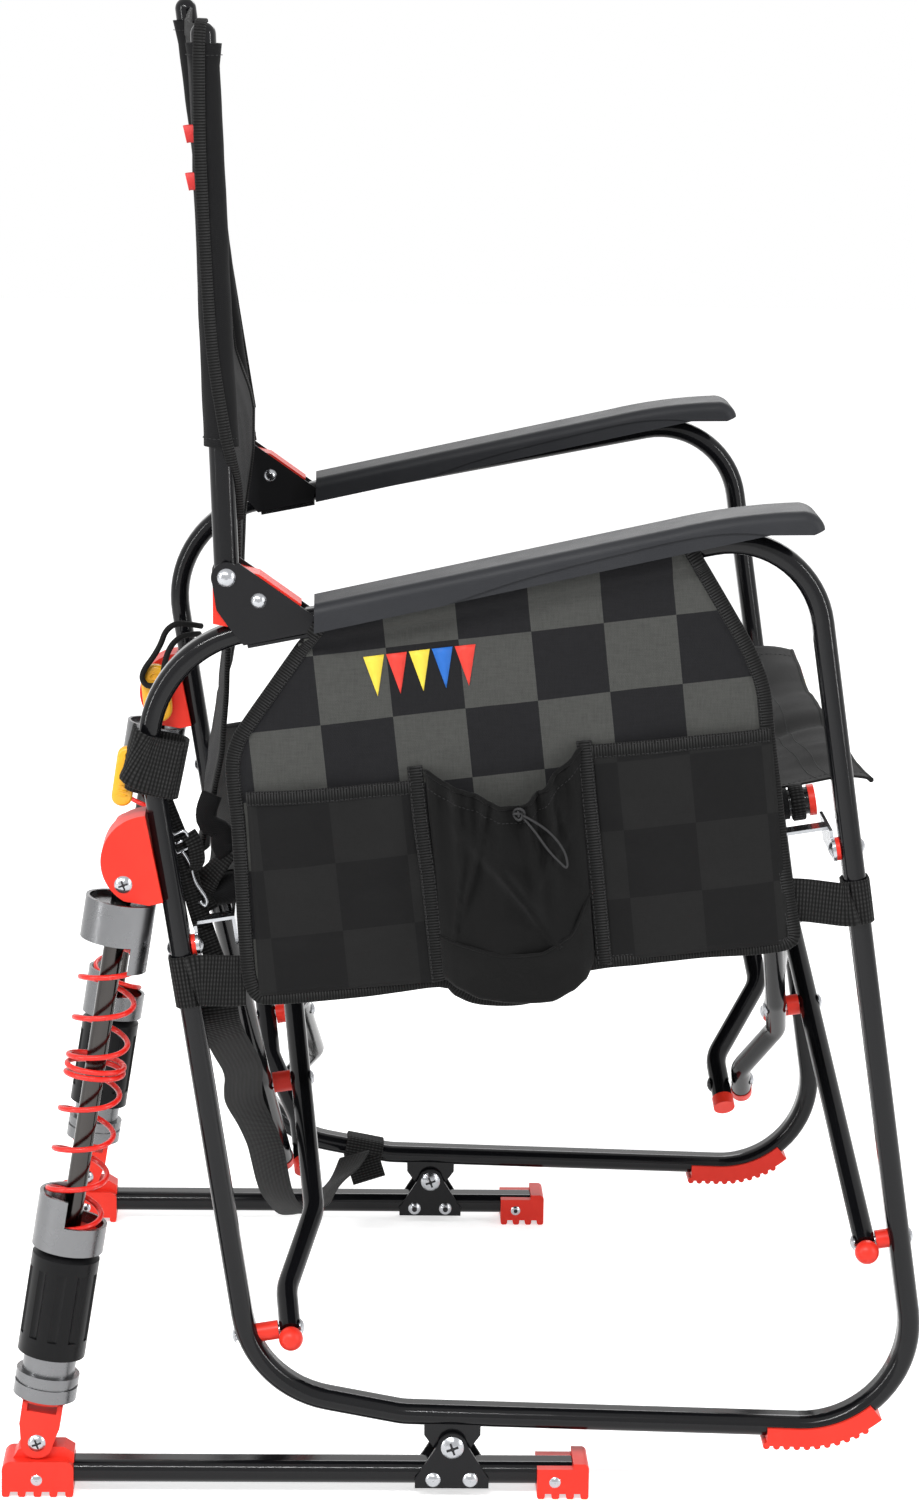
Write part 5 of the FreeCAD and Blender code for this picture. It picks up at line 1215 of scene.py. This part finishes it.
def add_shade_plug(name, place, facing, outline, body, smooth):
    # A dark plug of painted shade let into a head, standing for the shade inside its recess or hollow; outline
    # holds (angle, radius) pairs
    x, y, z = place
    points = []
    for depth in (0.0001, -0.0012):
        for angle, radius in outline:
            points.append((x + radius * math.cos(angle), y + facing * depth, z + radius * math.sin(angle)))
    count = len(outline)
    faces = [tuple(range(count)), tuple(range(2 * count - 1, count - 1, -1))]
    for k in range(count):
        n = (k + 1) % count
        faces.append((k, k + count, n + count, n))
    piece = add_piece(name, points, faces, "black_plate", body, RECESS_SHADE)
    for face in piece.data.polygons:
        face.use_smooth = smooth


def add_marks(name, side):
    for i, (x, z, y, radius, body) in enumerate(SCREWS):
        # The drive's cross is drawn as painted shade
        cross = []
        for quarter in range(4):
            for degrees, share in CROSS_ARM:
                cross.append((math.radians(90 * quarter + degrees) + 0.35, radius * 0.55 * share))
        for k, (reach, facing) in enumerate(((y, side), (2 * SIDE - y, -side))):
            mark = "cross_recess_shade_%s_%d" % (name, 2 * i + k)
            add_shade_plug(mark, (x, side * reach, z), facing, cross, body + name, False)
    for i, (x, z, y, radius, body) in enumerate(HOLLOWS):
        # The hollow's inside is drawn as a disc of painted shade
        rim = [(math.tau * k / 12, radius * 0.42) for k in range(12)]
        add_shade_plug("hollow_%s_%d" % (name, i), (x, side * y, z), -side, rim, body + name, True)


def add_spring(name):
    # A copy of each coil spring, smooth shaded and painted, which takes the place of the imported one
    node = frame["nodes"]["shock_spring_" + name]
    spring = show("coil_spring_" + name, node.data.copy())
    spring.matrix_world = node.matrix_world.copy()
    spring.data.materials.clear()
    spring.data.materials.append(PAINT["red_spring"])
    for face in spring.data.polygons:
        face.use_smooth = True
    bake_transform(spring)
    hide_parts("shock_spring_" + name)


def paint_frame():
    slots = {row["node"]: row["material_slot"] for row in frame["record"]["subparts"]}
    for name, node in frame["nodes"].items():
        node.data.materials.clear()
        node.data.materials.append(PAINT[slots[name]])


paint_frame()
add_panel()
add_pennants()
add_flat_pocket("pocket_rear", [(-0.1665, 0.5345), (-0.044, 0.545), (-0.0255, 0.395), (-0.156, 0.383)])
add_flat_pocket("pocket_front", [(0.08, 0.572), (0.211, 0.586), (0.23, 0.426), (0.096, 0.411)])
add_divider("divider_rear", [(-0.0455, 0.555, 0.003), (-0.04, 0.51, 0.0055), (-0.034, 0.47, 0.0055),
                             (-0.0265, 0.406, 0.0045), (-0.025, 0.396, 0.004)])
add_divider("divider_front", [(0.076, 0.575, 0.003), (0.081, 0.53, 0.0055), (0.0865, 0.485, 0.0055),
                              (0.094, 0.418, 0.0045), (0.095, 0.41, 0.004)])
add_bottle_pocket()
add_drawcord()
add_tube_loop("rear_webbing", REAR_LOW, REAR_TOP, 0.3935, 0.0385, -0.166)
add_tube_loop("front_webbing", FRONT_LOW, FRONT_TOP, 0.4575, 0.033, 0.227)
add_clip_band()
add_carry_strap()
add_back()
add_edge_tape()
add_back_tabs()
add_seat()
add_corner_tie()
add_strap_head()
add_catches()
for name, side in SIDES:
    add_seat_sleeve(name, side)
    add_rail_webbing(name, side)
    add_marks(name, side)
    add_spring(name)
